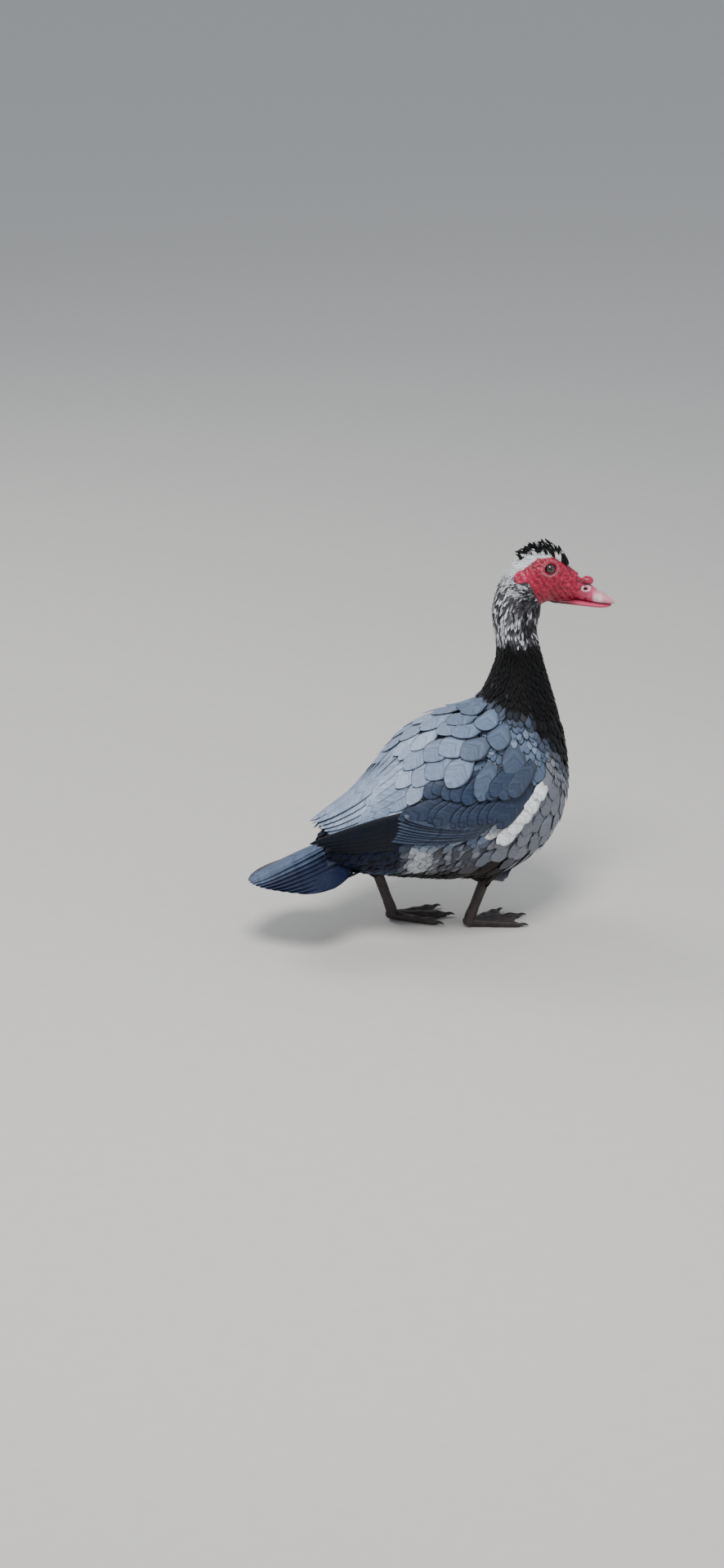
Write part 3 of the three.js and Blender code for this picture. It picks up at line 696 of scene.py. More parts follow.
class Feathers:
    """Vanes gathered for one piece: where each lies, its size and its colours.

    A vane is a grid of rows along its shaft and columns across it. Camber is how far its sides bend
    down, as a share of its half width, and depth is its thickness at the shaft.
    """

    def __init__(self, rows, columns, shape, camber=0.12, depth=0.5):
        self.rows, self.columns, self.shape = rows, columns, shape
        self.camber, self.depth = camber, depth
        self.parts = []

    def add(self, root, middle, tip, up_root, up_tip, half_width, ground, fringe):
        """Adds one feather or rows of them: places, the ways out at root and tip, and colours."""
        self.parts.append((root, middle, tip, up_root, up_tip, half_width, ground, fringe))

    def gathered(self):
        """Each value of all the feathers as one array."""
        shapes = [(-1,) if i == HALF_WIDTH else (-1, 3) for i in range(8)]
        return [
            np.concatenate([np.reshape(part[i], shape) for part in self.parts])
            for i, shape in enumerate(shapes)
        ]

    def upper_side(self, root, middle, tip, up_root, up_tip, width, v, u):
        """Points of each vane's upper side, curved from root through middle to tip, and its way out."""
        control = 2 * middle - (root + tip) / 2
        w = v[None, :, None]
        line = (1 - w) ** 2 * root[:, None] + 2 * w * (1 - w) * control[:, None] + w ** 2 * tip[:, None]
        tangent = unit(2 * (1 - w) * (control - root)[:, None] + 2 * w * (tip - control)[:, None])
        up = (1 - w) * up_root[:, None] + w * up_tip[:, None]
        across = unit(np.cross(tangent, up))
        out = unit(np.cross(across, tangent))
        bow = self.camber * width[..., None] * u ** 2
        # Barbs run forwards as they leave the shaft, so each side of the tip is drawn back a little
        back = SWEEP * width[..., None] * np.abs(u) * v[None, :, None] ** 2
        top = line[:, :, None] + across[:, :, None] * (width[..., None] * u)[..., None]
        return top - out[:, :, None] * bow[..., None] - tangent[:, :, None] * back[..., None], out

    def build(self, name, material, slot, *nodes, ragged=0.0):
        """One piece from all the feathers, their margins made uneven by a share of the width."""
        root, middle, tip, up_root, up_tip, half_width, ground, fringe = self.gathered()
        n, rows, cols = len(root), self.rows, self.columns
        rng = np.random.default_rng(SEED)
        # Rows lie closer together towards the tip, where the outline turns
        v = 1 - (1 - np.linspace(0, 1, rows)) ** 1.35
        u = np.linspace(-1, 1, cols)
        width = half_width[:, None] * vane_width(v, self.shape)[None]
        width = width * (1 + ragged * (rng.random((n, rows)) - 0.5))
        top, out = self.upper_side(root, middle, tip, up_root, up_tip, width, v, u)
        thick = self.depth * (1 - u[1:-1] ** 2)[None, None, :, None] * np.ones((n, rows - 2, 1, 1))
        under = top[:, 1:-1, 1:-1] - out[:, 1:-1, None] * thick
        points = np.concatenate([top.reshape(n, -1, 3), under.reshape(n, -1, 3)], 1)
        count = points.shape[1]
        faces = (vane_faces(rows, cols)[None] + (np.arange(n) * count)[:, None, None]).reshape(-1, 4)
        piece = mesh_object(name, points.reshape(-1, 3), faces)
        mesh = piece.data
        length = np.linalg.norm(tip - root, axis=-1)
        from_tip = ((1 - v)[None] * length[:, None])[..., None]
        from_root = (v[None] * length[:, None])[..., None] * np.ones(cols)
        margin = np.minimum(width[..., None] * (1 - np.abs(u)), from_tip * 0.8)
        aside, ahead, margin, share = (
            np.concatenate([f.reshape(n, -1), f[:, 1:-1, 1:-1].reshape(n, -1)], 1)
            for f in (width[..., None] * u, from_root, margin, np.broadcast_to(v[None, :, None], margin.shape))
        )
        store(mesh, "ground", np.repeat(ground, count, 0))
        store(mesh, "fringe", np.repeat(fringe, count, 0))
        store(mesh, "margin", margin.ravel())
        store(mesh, "along", share.ravel())
        vane = np.stack([aside.ravel(), ahead.ravel()], -1) * 0.001
        local = np.stack([aside / half_width[:, None] * 0.5, ahead / length[:, None] - 0.5], -1)
        bake = np.repeat(unwrapped(root), count, 0) + BAKE_PATCH * local.reshape(-1, 2)
        for layer_name, values in (("OFBake", bake), ("Vane", vane)):
            layer = mesh.uv_layers.new(name=layer_name)
            layer.data.foreach_set("uv", values[faces.ravel()].astype(np.float32).ravel())
        return finish_piece(piece, material, slot, *nodes)


def vane_faces(rows, cols):
    """The faces of one vane: an upper and a lower side that meet at the margin."""

    def low(i, j):
        if 0 < i < rows - 1 and 0 < j < cols - 1:
            return rows * cols + (i - 1) * (cols - 2) + j - 1
        return i * cols + j

    faces = []
    for i in range(rows - 1):
        for j in range(cols - 1):
            a = i * cols + j
            faces.append((a, a + 1, a + cols + 1, a + cols))
            faces.append((low(i, j), low(i + 1, j), low(i + 1, j + 1), low(i, j + 1)))
    return np.array(faces, np.int64)


# Materials

# The inputs of a node that brings a value from one range to another
RANGE = ("Value", "From Min", "From Max", "To Min", "To Max")
# How far a barb runs towards the tip for each millimetre from the shaft, and how slowly its
# streak changes on the way out
BARB_SLANT = 1.1
BARB_STRETCH = 0.12
# Half the shaft's width where it fades into the vane and where it is darkest, in metres
SHAFT_M = (0.0006, 0.0002)


def new_material(name):
    """A material and its node tree, emptied."""
    material = bpy.data.materials.new(name)
    material.use_nodes = True
    tree = material.node_tree
    tree.nodes.clear()
    return material, tree


def add(tree, kind, links=None, **settings):
    """Adds a node with its settings; links gives each input a value, an output or a node's first output."""
    made = tree.nodes.new("ShaderNode" + kind)
    for key, value in settings.items():
        setattr(made, key, value)
    for key, value in (links or {}).items():
        if isinstance(value, bpy.types.Node):
            value = value.outputs[0]
        if isinstance(value, bpy.types.NodeSocket):
            tree.links.new(value, made.inputs[key])
        else:
            made.inputs[key].default_value = value
    return made


def per_metre(size_mm):
    """The scale of a pattern whose marks are a size in millimetres."""
    return 1000 / size_mm


def vane_material(name, roughness, sheen, barb_mm, fringe_mm, streaks, tip_from=None):
    """Keratin vane of a feather: barbs that run out from a shaft, a soft sheen and a thin fringe.

    The barbs give the eye fine slanting lines, drawn coarser than life so that they show. With
    tip_from the fringe colour takes the outer end of the feather instead of its margin.
    """
    material, tree = new_material(name)
    ground = add(tree, "Attribute", attribute_name="ground")
    fringe = add(tree, "Attribute", attribute_name="fringe")
    margin = add(tree, "Attribute", attribute_name="margin").outputs["Fac"]
    place = add(tree, "SeparateXYZ", {0: add(tree, "UVMap", uv_map="Vane")})
    aside = add(tree, "Math", {0: place.outputs[0]}, operation="ABSOLUTE")
    ahead = add(tree, "Math", {0: aside, 1: BARB_SLANT}, operation="MULTIPLY")
    slant = add(tree, "Math", {0: place.outputs[1], 1: ahead}, operation="SUBTRACT")
    outward = add(tree, "Math", {0: aside, 1: BARB_STRETCH}, operation="MULTIPLY")
    barb = add(tree, "CombineXYZ", {0: slant, 1: outward})
    fine = {"Vector": barb, "Scale": per_metre(barb_mm), "Detail": 3.0, "Roughness": 0.6}
    lines = add(tree, "TexNoise", fine)
    broad = add(tree, "TexNoise", {"Vector": barb, "Scale": per_metre(6 * barb_mm), "Detail": 2.0})
    if tip_from is None:
        border = (margin, fringe_mm, 0.35 * fringe_mm, 0, 1)
    else:
        share = add(tree, "Attribute", attribute_name="along").outputs["Fac"]
        loose = add(tree, "Math", {0: lines, 1: 0.2}, operation="MULTIPLY")
        ragged = add(tree, "Math", {0: share, 1: loose}, operation="ADD")
        border = (ragged, tip_from, tip_from + 0.25, 0, 1)
    edge = add(tree, "MapRange", dict(zip(RANGE, border)), interpolation_type="SMOOTHSTEP")
    base = add(tree, "Mix", {0: edge, 6: ground, 7: fringe}, data_type="RGBA").outputs[2]
    marks = (
        (lines, 0.2, 0.8, -streaks, streaks),
        (broad, 0.25, 0.75, -0.8 * streaks, 0.8 * streaks),
        (aside, *SHAFT_M, 0.0, -0.16),
    )
    shade = 1.0
    for mark in marks:
        step = add(tree, "MapRange", dict(zip(RANGE, mark)), interpolation_type="SMOOTHSTEP")
        shade = add(tree, "Math", {0: shade, 1: step}, operation="ADD")
    toned = add(tree, "Mix", {0: 1.0, 6: base, 7: shade}, data_type="RGBA", blend_type="MULTIPLY")
    bump = add(tree, "Bump", {"Height": lines, "Strength": 0.35, "Distance": 0.0004})
    finish = {
        "Base Color": toned.outputs[2],
        "Roughness": roughness,
        "Sheen Weight": sheen,
        "Sheen Roughness": 0.4,
        "Specular IOR Level": 0.2,
        "Normal": bump,
    }
    add(tree, "OutputMaterial", {"Surface": add(tree, "BsdfPrincipled", finish)})
    return material


def skin_material():
    """Living skin: bare, wet-looking and blood red on the face, and dull under the feathers.

    The bulbs give the eye small soft highlights, partly from the gloss and partly painted into the ground
    colour, and the creases between them stay dark, partly from painted shade in the ground colour. The pores
    are drawn coarser than life.
    """
    material, tree = new_material("living skin, bare and feathered")
    ground = add(tree, "Attribute", attribute_name="ground")
    bare = add(tree, "Attribute", attribute_name="bare").outputs["Fac"]
    where = add(tree, "TexCoord").outputs["Object"]
    pores = add(tree, "TexVoronoi", {"Vector": where, "Scale": per_metre(2.2)})
    veins = add(tree, "TexNoise", {"Vector": where, "Scale": per_metre(6), "Detail": 4.0})
    flush = dict(zip(RANGE, (veins, 0.3, 0.75, -0.25, 0.22)))
    blood = add(tree, "MapRange", flush, interpolation_type="SMOOTHSTEP")
    shown = add(tree, "Math", {0: blood, 1: bare}, operation="MULTIPLY")
    tone = add(tree, "Math", {0: shown, 1: 1.0}, operation="ADD")
    base = add(tree, "Mix", {0: 1.0, 6: ground, 7: tone}, data_type="RGBA", blend_type="MULTIPLY")
    wetness = dict(zip(RANGE, (bare, 0.0, 1.0, 0.8, 0.42)))
    finish = {
        "Base Color": base.outputs[2],
        "Roughness": add(tree, "MapRange", wetness, interpolation_type="SMOOTHSTEP"),
        "Subsurface Weight": 0.12,
        "Subsurface Scale": 0.002,
        "Normal": add(tree, "Bump", {"Height": pores, "Strength": 0.5, "Distance": 0.0006}),
    }
    add(tree, "OutputMaterial", {"Surface": add(tree, "BsdfPrincipled", finish)})
    return material


def horn_material():
    """Waxy living horn of the bill: soft pink with a satin gloss and faint lines along it."""
    material, tree = new_material("waxy bill horn")
    ground = add(tree, "Attribute", attribute_name="ground")
    where = add(tree, "TexCoord").outputs["Object"]
    stretched = add(tree, "Mapping", {"Vector": where, "Scale": (0.25, 1.0, 1.0)})
    grain = add(tree, "TexNoise", {"Vector": stretched, "Scale": per_metre(1.5), "Detail": 4.0})
    blush = add(tree, "TexNoise", {"Vector": where, "Scale": per_metre(7), "Detail": 3.0})
    clouds = dict(zip(RANGE, (blush, 0.3, 0.7, 0.88, 1.1)))
    tone = add(tree, "MapRange", clouds, interpolation_type="SMOOTHSTEP")
    base = add(tree, "Mix", {0: 1.0, 6: ground, 7: tone}, data_type="RGBA", blend_type="MULTIPLY")
    finish = {
        "Base Color": base.outputs[2],
        "Roughness": 0.36,
        "Subsurface Weight": 0.1,
        "Subsurface Scale": 0.002,
        "Normal": add(tree, "Bump", {"Height": grain, "Strength": 0.25, "Distance": 0.0004}),
    }
    add(tree, "OutputMaterial", {"Surface": add(tree, "BsdfPrincipled", finish)})
    return material


def scale_material():
    """Scaled leg skin: dark horny plates with paler seams, dull with a slight oily gloss.

    The seams give the eye a fine net, drawn coarser than life on the toes.
    """
    material, tree = new_material("scaled leg skin")
    ground = add(tree, "Attribute", attribute_name="ground")
    where = add(tree, "TexCoord").outputs["Object"]
    scales = add(tree, "TexVoronoi", {"Vector": where, "Scale": per_metre(3)}, feature="DISTANCE_TO_EDGE")
    seams = dict(zip(RANGE, (scales, 0.0, 0.12, 0.55, 1.0)))
    seam = add(tree, "MapRange", seams, interpolation_type="SMOOTHSTEP")
    worn = add(tree, "TexNoise", {"Vector": where, "Scale": per_metre(9), "Detail": 4.0})
    patches = dict(zip(RANGE, (worn, 0.3, 0.8, 0.75, 1.5)))
    wear = add(tree, "MapRange", patches, interpolation_type="SMOOTHSTEP")
    tone = add(tree, "Math", {0: seam, 1: wear}, operation="MULTIPLY")
    base = add(tree, "Mix", {0: 1.0, 6: ground, 7: tone}, data_type="RGBA", blend_type="MULTIPLY")
    bump = add(tree, "Bump", {"Height": seam, "Strength": 0.6, "Distance": 0.0006})
    finish = {"Base Color": base.outputs[2], "Roughness": 0.5, "Normal": bump}
    add(tree, "OutputMaterial", {"Surface": add(tree, "BsdfPrincipled", finish)})
    return material


def claw_material():
    """Claw keratin: dark, smooth and slightly glossy, so that its curve catches one thin light."""
    material, tree = new_material("claw keratin")
    where = add(tree, "TexCoord").outputs["Object"]
    lines = add(tree, "TexNoise", {"Vector": where, "Scale": per_metre(2), "Detail": 2.0})
    shades = {0: lines, 6: (*linear("#14100f"), 1), 7: (*linear("#3d332e"), 1)}
    base = add(tree, "Mix", shades, data_type="RGBA").outputs[2]
    shader = add(tree, "BsdfPrincipled", {"Base Color": base, "Roughness": 0.3})
    add(tree, "OutputMaterial", {"Surface": shader})
    return material


def eye_material():
    """A wet eye: dark brown iris round a black pupil under a clear, glossy cornea.

    The attribute off_axis is the share of the ball's radius away from its axis.
    """
    material, tree = new_material("wet eye")
    off = add(tree, "Attribute", attribute_name="off_axis").outputs["Fac"]
    where = add(tree, "TexCoord").outputs["Object"]
    rays = add(tree, "TexNoise", {"Vector": where, "Scale": per_metre(0.8), "Detail": 3.0})
    shades = {0: rays, 6: (*settings("colours").iris, 1), 7: (*linear("#4a2a17"), 1)}
    brown = add(tree, "Mix", shades, data_type="RGBA").outputs[2]
    pupil_edge = dict(zip(RANGE, (off, 0.36, 0.42, 0, 1)))
    outside = add(tree, "MapRange", pupil_edge, interpolation_type="SMOOTHSTEP")
    inner = {0: outside, 6: (*linear("#070707"), 1), 7: brown}
    iris = add(tree, "Mix", inner, data_type="RGBA").outputs[2]
    iris_edge = dict(zip(RANGE, (off, 0.62, 0.72, 0, 1)))
    beyond = add(tree, "MapRange", iris_edge, interpolation_type="SMOOTHSTEP")
    whole = {0: beyond, 6: iris, 7: (*linear("#191410"), 1)}
    base = add(tree, "Mix", whole, data_type="RGBA").outputs[2]
    finish = {"Base Color": base, "Roughness": 0.05, "Coat Weight": 1.0, "Coat Roughness": 0.02}
    add(tree, "OutputMaterial", {"Surface": add(tree, "BsdfPrincipled", finish)})
    return material


def floor_material():
    """Matt paper of a studio floor: even and pale, with fibres too soft to see as a pattern."""
    material, tree = new_material("matt paper floor")
    where = add(tree, "TexCoord").outputs["Object"]
    fibre = add(tree, "TexNoise", {"Vector": where, "Scale": per_metre(25), "Detail": 3.0})
    shades = {0: fibre, 6: (*linear("#cfccc6"), 1), 7: (*linear("#d6d3cd"), 1)}
    base = add(tree, "Mix", shades, data_type="RGBA").outputs[2]
    shader = add(tree, "BsdfPrincipled", {"Base Color": base, "Roughness": 0.9})
    add(tree, "OutputMaterial", {"Surface": shader})
    return material


def settings(kind):
    """The scene's group of colours or sizes."""
    return getattr(bpy.context.scene, f"duck_{kind}")


def palette():
    """The colours as arrays, by name."""
    group = settings("colours")
    return SimpleNamespace(**{name: np.array(getattr(group, name)) for name in DuckColours.__annotations__})


# The skin

# What the folded wing covers, as x and z seen from the side
COVERED = np.array(
    [
        (59.4, 146),
        (93.6, 168),
        (109.8, 215),
        (93.6, 262),
        (54, 298),
        (18, 318),
        (-54, 330),
        (-126, 240),
        (-115.2, 180),
        (-100.8, 158),
        (-72, 148),
        (0, 147),
    ],
    float,
)


def inside_outline(x, z, outline):
    """Whether points lie inside a closed outline."""
    inside = np.zeros(np.shape(x), bool)
    for (x0, z0), (x1, z1) in zip(outline, np.roll(outline, -1, 0)):
        crosses = (z0 > z) != (z1 > z)
        where = x0 + (z - z0) * (x1 - x0) / (z1 - z0 if z1 != z0 else 1e-9)
        inside ^= crosses & (x < where)
    return inside


def coat_depth(t):
    """How deep the skin lies along the trunk and neck."""
    sizes = settings("sizes")
    return lerp(sizes.coat_depth, sizes.neck_depth, smooth(0.45, 0.62, t))


def trunk_skin():
    """Trunk and neck, filled out under the wings."""
    t, angle = tube_grid(150, 96)
    around = np.abs((angle + math.pi) % (2 * math.pi) - math.pi)
    wing = smooth(1.95, 1.6, around) * smooth(0.42, 0.34, t) * smooth(0.03, 0.09, t)
    return loft_object("trunk", trunk_point(t, angle, (wing_depth(t) - 6) * wing - coat_depth(t)))


def head_skin():
    """The head without bill, eyes or feathers."""
    t, angle = tube_grid(60, 64)
    return loft_object("head", head_ring(HEAD, t, angle, HEAD_FULLNESS, -settings("sizes").head_depth))


def tube_points(path, radii, sides=24):
    """Rings of points along a path of points, with a radius at each."""
    path = np.asarray(path, float)
    tangent = unit(np.gradient(path, axis=0))
    lead = np.cross(tangent, UP)
    lead = unit(np.where(np.linalg.norm(lead, axis=-1, keepdims=True) < 0.1, [0.0, 1.0, 0.0], lead))
    other = unit(np.cross(lead, tangent))
    angle = np.linspace(0, 2 * math.pi, sides, endpoint=False)
    ring = lead[:, None] * np.cos(angle)[None, :, None] + other[:, None] * np.sin(angle)[None, :, None]
    return path[:, None] + ring * np.asarray(radii, float)[:, None, None]


def thigh_skin(leg):
    """A cone from the hock up into the trunk."""
    ankle, toes = np.array(leg["ankle"], float), np.array(leg["toes"], float)
    hock = ankle - (ankle - toes) * 0.16
    knee = np.array([ankle[0] + 6, ankle[1] * 1.3, 130.0])
    f = np.linspace(0, 1, 14)[:, None]
    return loft_object("thigh", tube_points(hock + (knee - hock) * f, 7.5 + 20 * f[:, 0] ** 1.2))


# Middle of the jaw's soft skin as p and z, its half length and its half width
JAW = {"p": 54, "z": 449, "half_length": 17, "half_width": 11.5}


def jaw_skin():
    """The soft skin that carries the root of the lower bill."""
    angle, share = ball_grid(24, 16, 0.05, 3.09)
    ring = JAW["half_width"] * np.sin(share)
    p = JAW["p"] + JAW["half_length"] * np.cos(share)
    return loft_object("jaw", head_point(p, ring * np.cos(angle), JAW["z"] + 0.5 * ring * np.sin(angle)))


# Bulbs of the face on each side: p, l, z and radius
CARUNCLES = (
    (66, 15, 488, 5),
    (58, 19, 490, 4.2),
    (72, 15, 479, 4.6),
    (54, 20, 481, 4),
    (63, 17.5, 472, 4.2),
)
# Half the opening between the lids, and how far the lid stands out
LID = {"across": 6.6, "up": 5.3, "rim": 1.5}


def eye_distance(p, z):
    """Distance from the eye's axis as a share of the opening between the lids."""
    return np.hypot((p - EYE["p"]) / LID["across"], (z - EYE["z"]) / LID["up"])


def face_relief(points):
    """How far the bare skin stands out, in millimetres: folds, small bulbs and the larger caruncles."""
    p, l, z = in_head(points)
    warp = noisy(points, 9, 3.0)
    folds = np.sin((0.83 * (p - 30) + 0.56 * (z - 480)) / 1.15 + 2.4 * warp)
    cells = np.array([noise.voronoi(Vector(q / 3.6))[0][0] for q in points])
    bulbs = 1 - smooth(0.1, 0.75, cells)
    relief = 0.35 * folds + 0.9 * (bulbs - 0.4)
    for cp, cl, cz, radius in CARUNCLES:
        gap = np.sqrt((p - cp) ** 2 + (np.abs(l) - cl) ** 2 + (z - cz) ** 2)
        relief = relief + 0.45 * radius * smooth(radius * 1.1, 0, gap)
    ridge = smooth(14, 0, np.hypot((p - 2) / 1.6, z - 484))
    return relief + 1.4 * ridge


def finer(mesh, wanted):
    """Splits the faces that a test picks, each side in three."""
    bm = bmesh.new()
    bm.from_mesh(mesh)
    centres = np.array([f.calc_center_median() for f in bm.faces])
    picked = wanted(from_frame(centres))
    bm.faces.ensure_lookup_table()
    edges = {e for f, yes in zip(bm.faces, picked) if yes for e in f.edges}
    bmesh.ops.subdivide_edges(bm, edges=list(edges), cuts=2, use_grid_fill=True)
    bmesh.ops.triangulate(bm, faces=[f for f in bm.faces if len(f.verts) > 4])
    bm.to_mesh(mesh)
    bm.free()
    mesh.update()


def bare_share(points, soft=1.0):
    """1 on the bare skin of the face, with nothing counted as bare further down the body."""
    return face_share(points, soft) * (points[:, 2] > FACE_FLOOR)


def ring_at(away, middle, width):
    """1 on a ring round the eye, fading to 0 on both sides of it."""
    return np.exp(-(((away - middle) / width) ** 2))


def bare_colours(z, relief, away, beside, c):
    """Red skin with a painted highlight on the bulbs' tops and painted shade in the creases, both laid by the
    relief, with a dark lid edge and a pale eye ring.
    """
    # Painted highlight: paler red on the bulbs' tops, where the relief stands out
    red = mix(c.face, c.face_bulb_highlight, smooth(0.25, 1.5, relief) * 0.55)
    # Painted shade: darker red in the creases, where the relief sinks
    red = mix(red, c.face_dark_and_crease_shade, smooth(0.05, -0.7, relief) * 0.8)
    pale = 0.06 + 0.14 * smooth(498, 488, z)
    red = mix(red, c.bill_pale, ring_at(away, 1.7, 0.22) * beside * pale)
    return mix(red, c.face_dark_and_crease_shade * 0.35, ring_at(away, 1.0, 0.16) * beside * 0.9)


class DUCK_OT_skin(bpy.types.Operator):
    """Makes the one skin of head, neck, trunk and thighs, with the bare face's folds and bulbs"""

    bl_idname = "duck.skin"
    bl_label = "Skin"

    def execute(self, context):
        parts = [trunk_skin(), head_skin(), jaw_skin()] + [thigh_skin(leg) for leg in LEGS.values()]
        piece = fused(joined("skin", parts), settings("sizes").skin_grain, 6)
        mesh = piece.data
        finer(mesh, lambda q: bare_share(q, 3.0) > 0.02)
        points, out = points_of(mesh), normals_of(mesh)
        bare = bare_share(points)
        picked = np.flatnonzero(bare_share(points, 3.0) > 0.01)
        relief = np.zeros(len(points))
        relief[picked] = face_relief(points[picked])
        p, l, z = in_head(points)
        away, beside = eye_distance(p, z), np.abs(l) > 10
        calm = 1 - smooth(2.0, 1.2, away) * beside * 0.8
        points = points + out * ((relief * calm + 0.9) * bare)[:, None]
        lid = LID["rim"] * ring_at(away, 1.18, 0.2) + 0.7 * ring_at(away, 1.75, 0.16)
        socket = 9 * smooth(1.05, 0.85, away)
        points = points + out * ((lid - socket) * beside * (bare > 0.01))[:, None]
        set_points(mesh, points)
        c = palette()
        ground, _ = plumage(points, np.random.default_rng(SEED), c)
        # The feathered skin is painted darker than the feathers, by a factor of 0.8: painted shade, so that
        # the gaps between them look deep
        red = bare_colours(z, relief, away, beside, c)
        store(mesh, "ground", mix(ground * 0.8, red, bare))
        store(mesh, "bare", bare)
        nodes = ["torso", "neck", "head", "thigh_left", "thigh_right"]
        finish_piece(piece, skin_material(), "head_feathers", *nodes)
        return {"FINISHED"}


# The body's small feathers

# For each piece of the coat: the spacings that belong to it, a feather's length and half width as
# shares of the spacing, its outline and its fringe
COAT = {
    "head": {"gaps": (0.1, 2.5), "length": 3.6, "width": 0.5, "shape": LOCK, "fringe": 0.1},
    "neck": {"gaps": (2.5, 5), "length": 4.4, "width": 0.62, "shape": POINTED, "fringe": 0.5},
    "body": {"gaps": (5, 12), "length": 3.4, "width": 0.86, "shape": ROUNDED, "fringe": 0.8},
    "breast": {"gaps": (12, 99), "length": 2.1, "width": 0.72, "shape": ROUNDED, "fringe": 1.2},
}
COAT_SLOTS = {"head": "head_feathers", "neck": "neck_feathers"}
# Rows, columns, camber and thickness of a small feather and of a large one
SMALL_VANE = (6, 5, 0.18, 0.35)
LARGE_VANE = (14, 9, 0.1, 0.5)
# Places tried on the skin before those too close together are dropped
COAT_TRIES = 130000
# Front edge of the wing, behind which no large breast feather lies, as z and x
BREAST_FRONT = ((60, 120, 160, 205, 260), (20, 20, 38, 90, 110))


def skin_tree():
    """The finished skin as a search tree, with its points and triangles."""
    mesh = bpy.data.objects["skin"].data
    mesh.calc_loop_triangles()
    faces = np.empty(len(mesh.loop_triangles) * 3, np.int32)
    mesh.loop_triangles.foreach_get("vertices", faces)
    faces = faces.reshape(-1, 3)
    points = points_of(mesh)
    return BVHTree.FromPolygons(points.tolist(), faces.tolist()), points, faces


def nearest_on(tree, points):
    """The nearest places on the skin, and the way out there."""
    found = [tree.find_nearest(Vector(p)) for p in points]
    places = np.array([f[0] for f in found])
    return places, np.array([f[1] for f in found])


def spread(rng, points, faces, spacing_at, count):
    """Places on the skin at least their own spacing apart, in a random order."""
    a, b, d = (points[faces[:, k]] for k in range(3))
    area = np.linalg.norm(np.cross(b - a, d - a), axis=1)
    pick = rng.choice(len(faces), count, p=area / area.sum())
    u, v = rng.random((2, count))
    flip = u + v > 1
    u, v = np.where(flip, 1 - u, u), np.where(flip, 1 - v, v)
    places = a[pick] + (b - a)[pick] * u[:, None] + (d - a)[pick] * v[:, None]
    gaps = spacing_at(places)
    kept = []
    for gap in np.unique(gaps[gaps > 0]):
        cells = {}
        for index in np.flatnonzero(gaps == gap):
            x, y, z = places[index]
            key = (int(x // gap), int(y // gap), int(z // gap))
            near = (
                q
                for i in (-1, 0, 1)
                for j in (-1, 0, 1)
                for k in (-1, 0, 1)
                for q in cells.get((key[0] + i, key[1] + j, key[2] + k), ())
            )
            if all((q[0] - x) ** 2 + (q[1] - y) ** 2 + (q[2] - z) ** 2 > gap * gap for q in near):
                cells.setdefault(key, []).append((x, y, z))
                kept.append(index)
    return places[kept], gaps[kept]


def lie_at(points, out, rng):
    """The way the feathers lie: back along the bird, a little down at the sides, and over the skin."""
    _, _, tangent = near_spine(points)
    way = -tangent + np.array([0, 0, -0.25])
    p, _, _ = in_head(points)
    on_head = head_share(points)[:, None]
    back = -HEAD_FORWARD + UP * (smooth(15, 50, p)[:, None] * 0.5 - smooth(0, -25, p)[:, None] * 1.4)
    way = unit(way) * (1 - on_head) + unit(back) * on_head
    way = way + 0.12 * rng.standard_normal(points.shape)
    return unit(way - out * (way * out).sum(-1, keepdims=True))


def laid(tree, root, way, length, lift_middle, lift_tip):
    """Middles and tips of feathers that hug the skin."""
    middle, up_middle = nearest_on(tree, root + way * (length * 0.5)[:, None])
    tip, up = nearest_on(tree, root + way * length[:, None])
    middle = middle + up_middle * np.asarray(lift_middle)[:, None]
    return middle, tip + up * np.asarray(lift_tip)[:, None], up


def coat_spacing(q):
    """Millimetres between neighbouring feathers at places on the skin, 0 where none grows."""
    sizes = settings("sizes")
    p, _, z = in_head(q)
    x, y = q[:, 0], np.abs(q[:, 1])
    on_head = head_share(q) > 0.5
    gap = np.where(z > 322 - 0.35 * (x - 60), sizes.neck_gap, sizes.body_gap)
    breast = (x > np.interp(z, *BREAST_FRONT)) & (black_border(q) < -22) & (z > 84)
    gap = np.where(breast, sizes.breast_gap, gap)
    gap = np.where(on_head, sizes.head_gap, gap)
    bare = (bare_share(q) > 0.35) | (on_head & (p > 62))
    wing = inside_outline(x, z, COVERED) & ((y > 20) | (z > 190)) & (z < 300)
    gap = np.where(wing, sizes.under_gap, np.where(bare, 0, gap))
    return np.where((z < 69) | (x < -168), 0, gap)


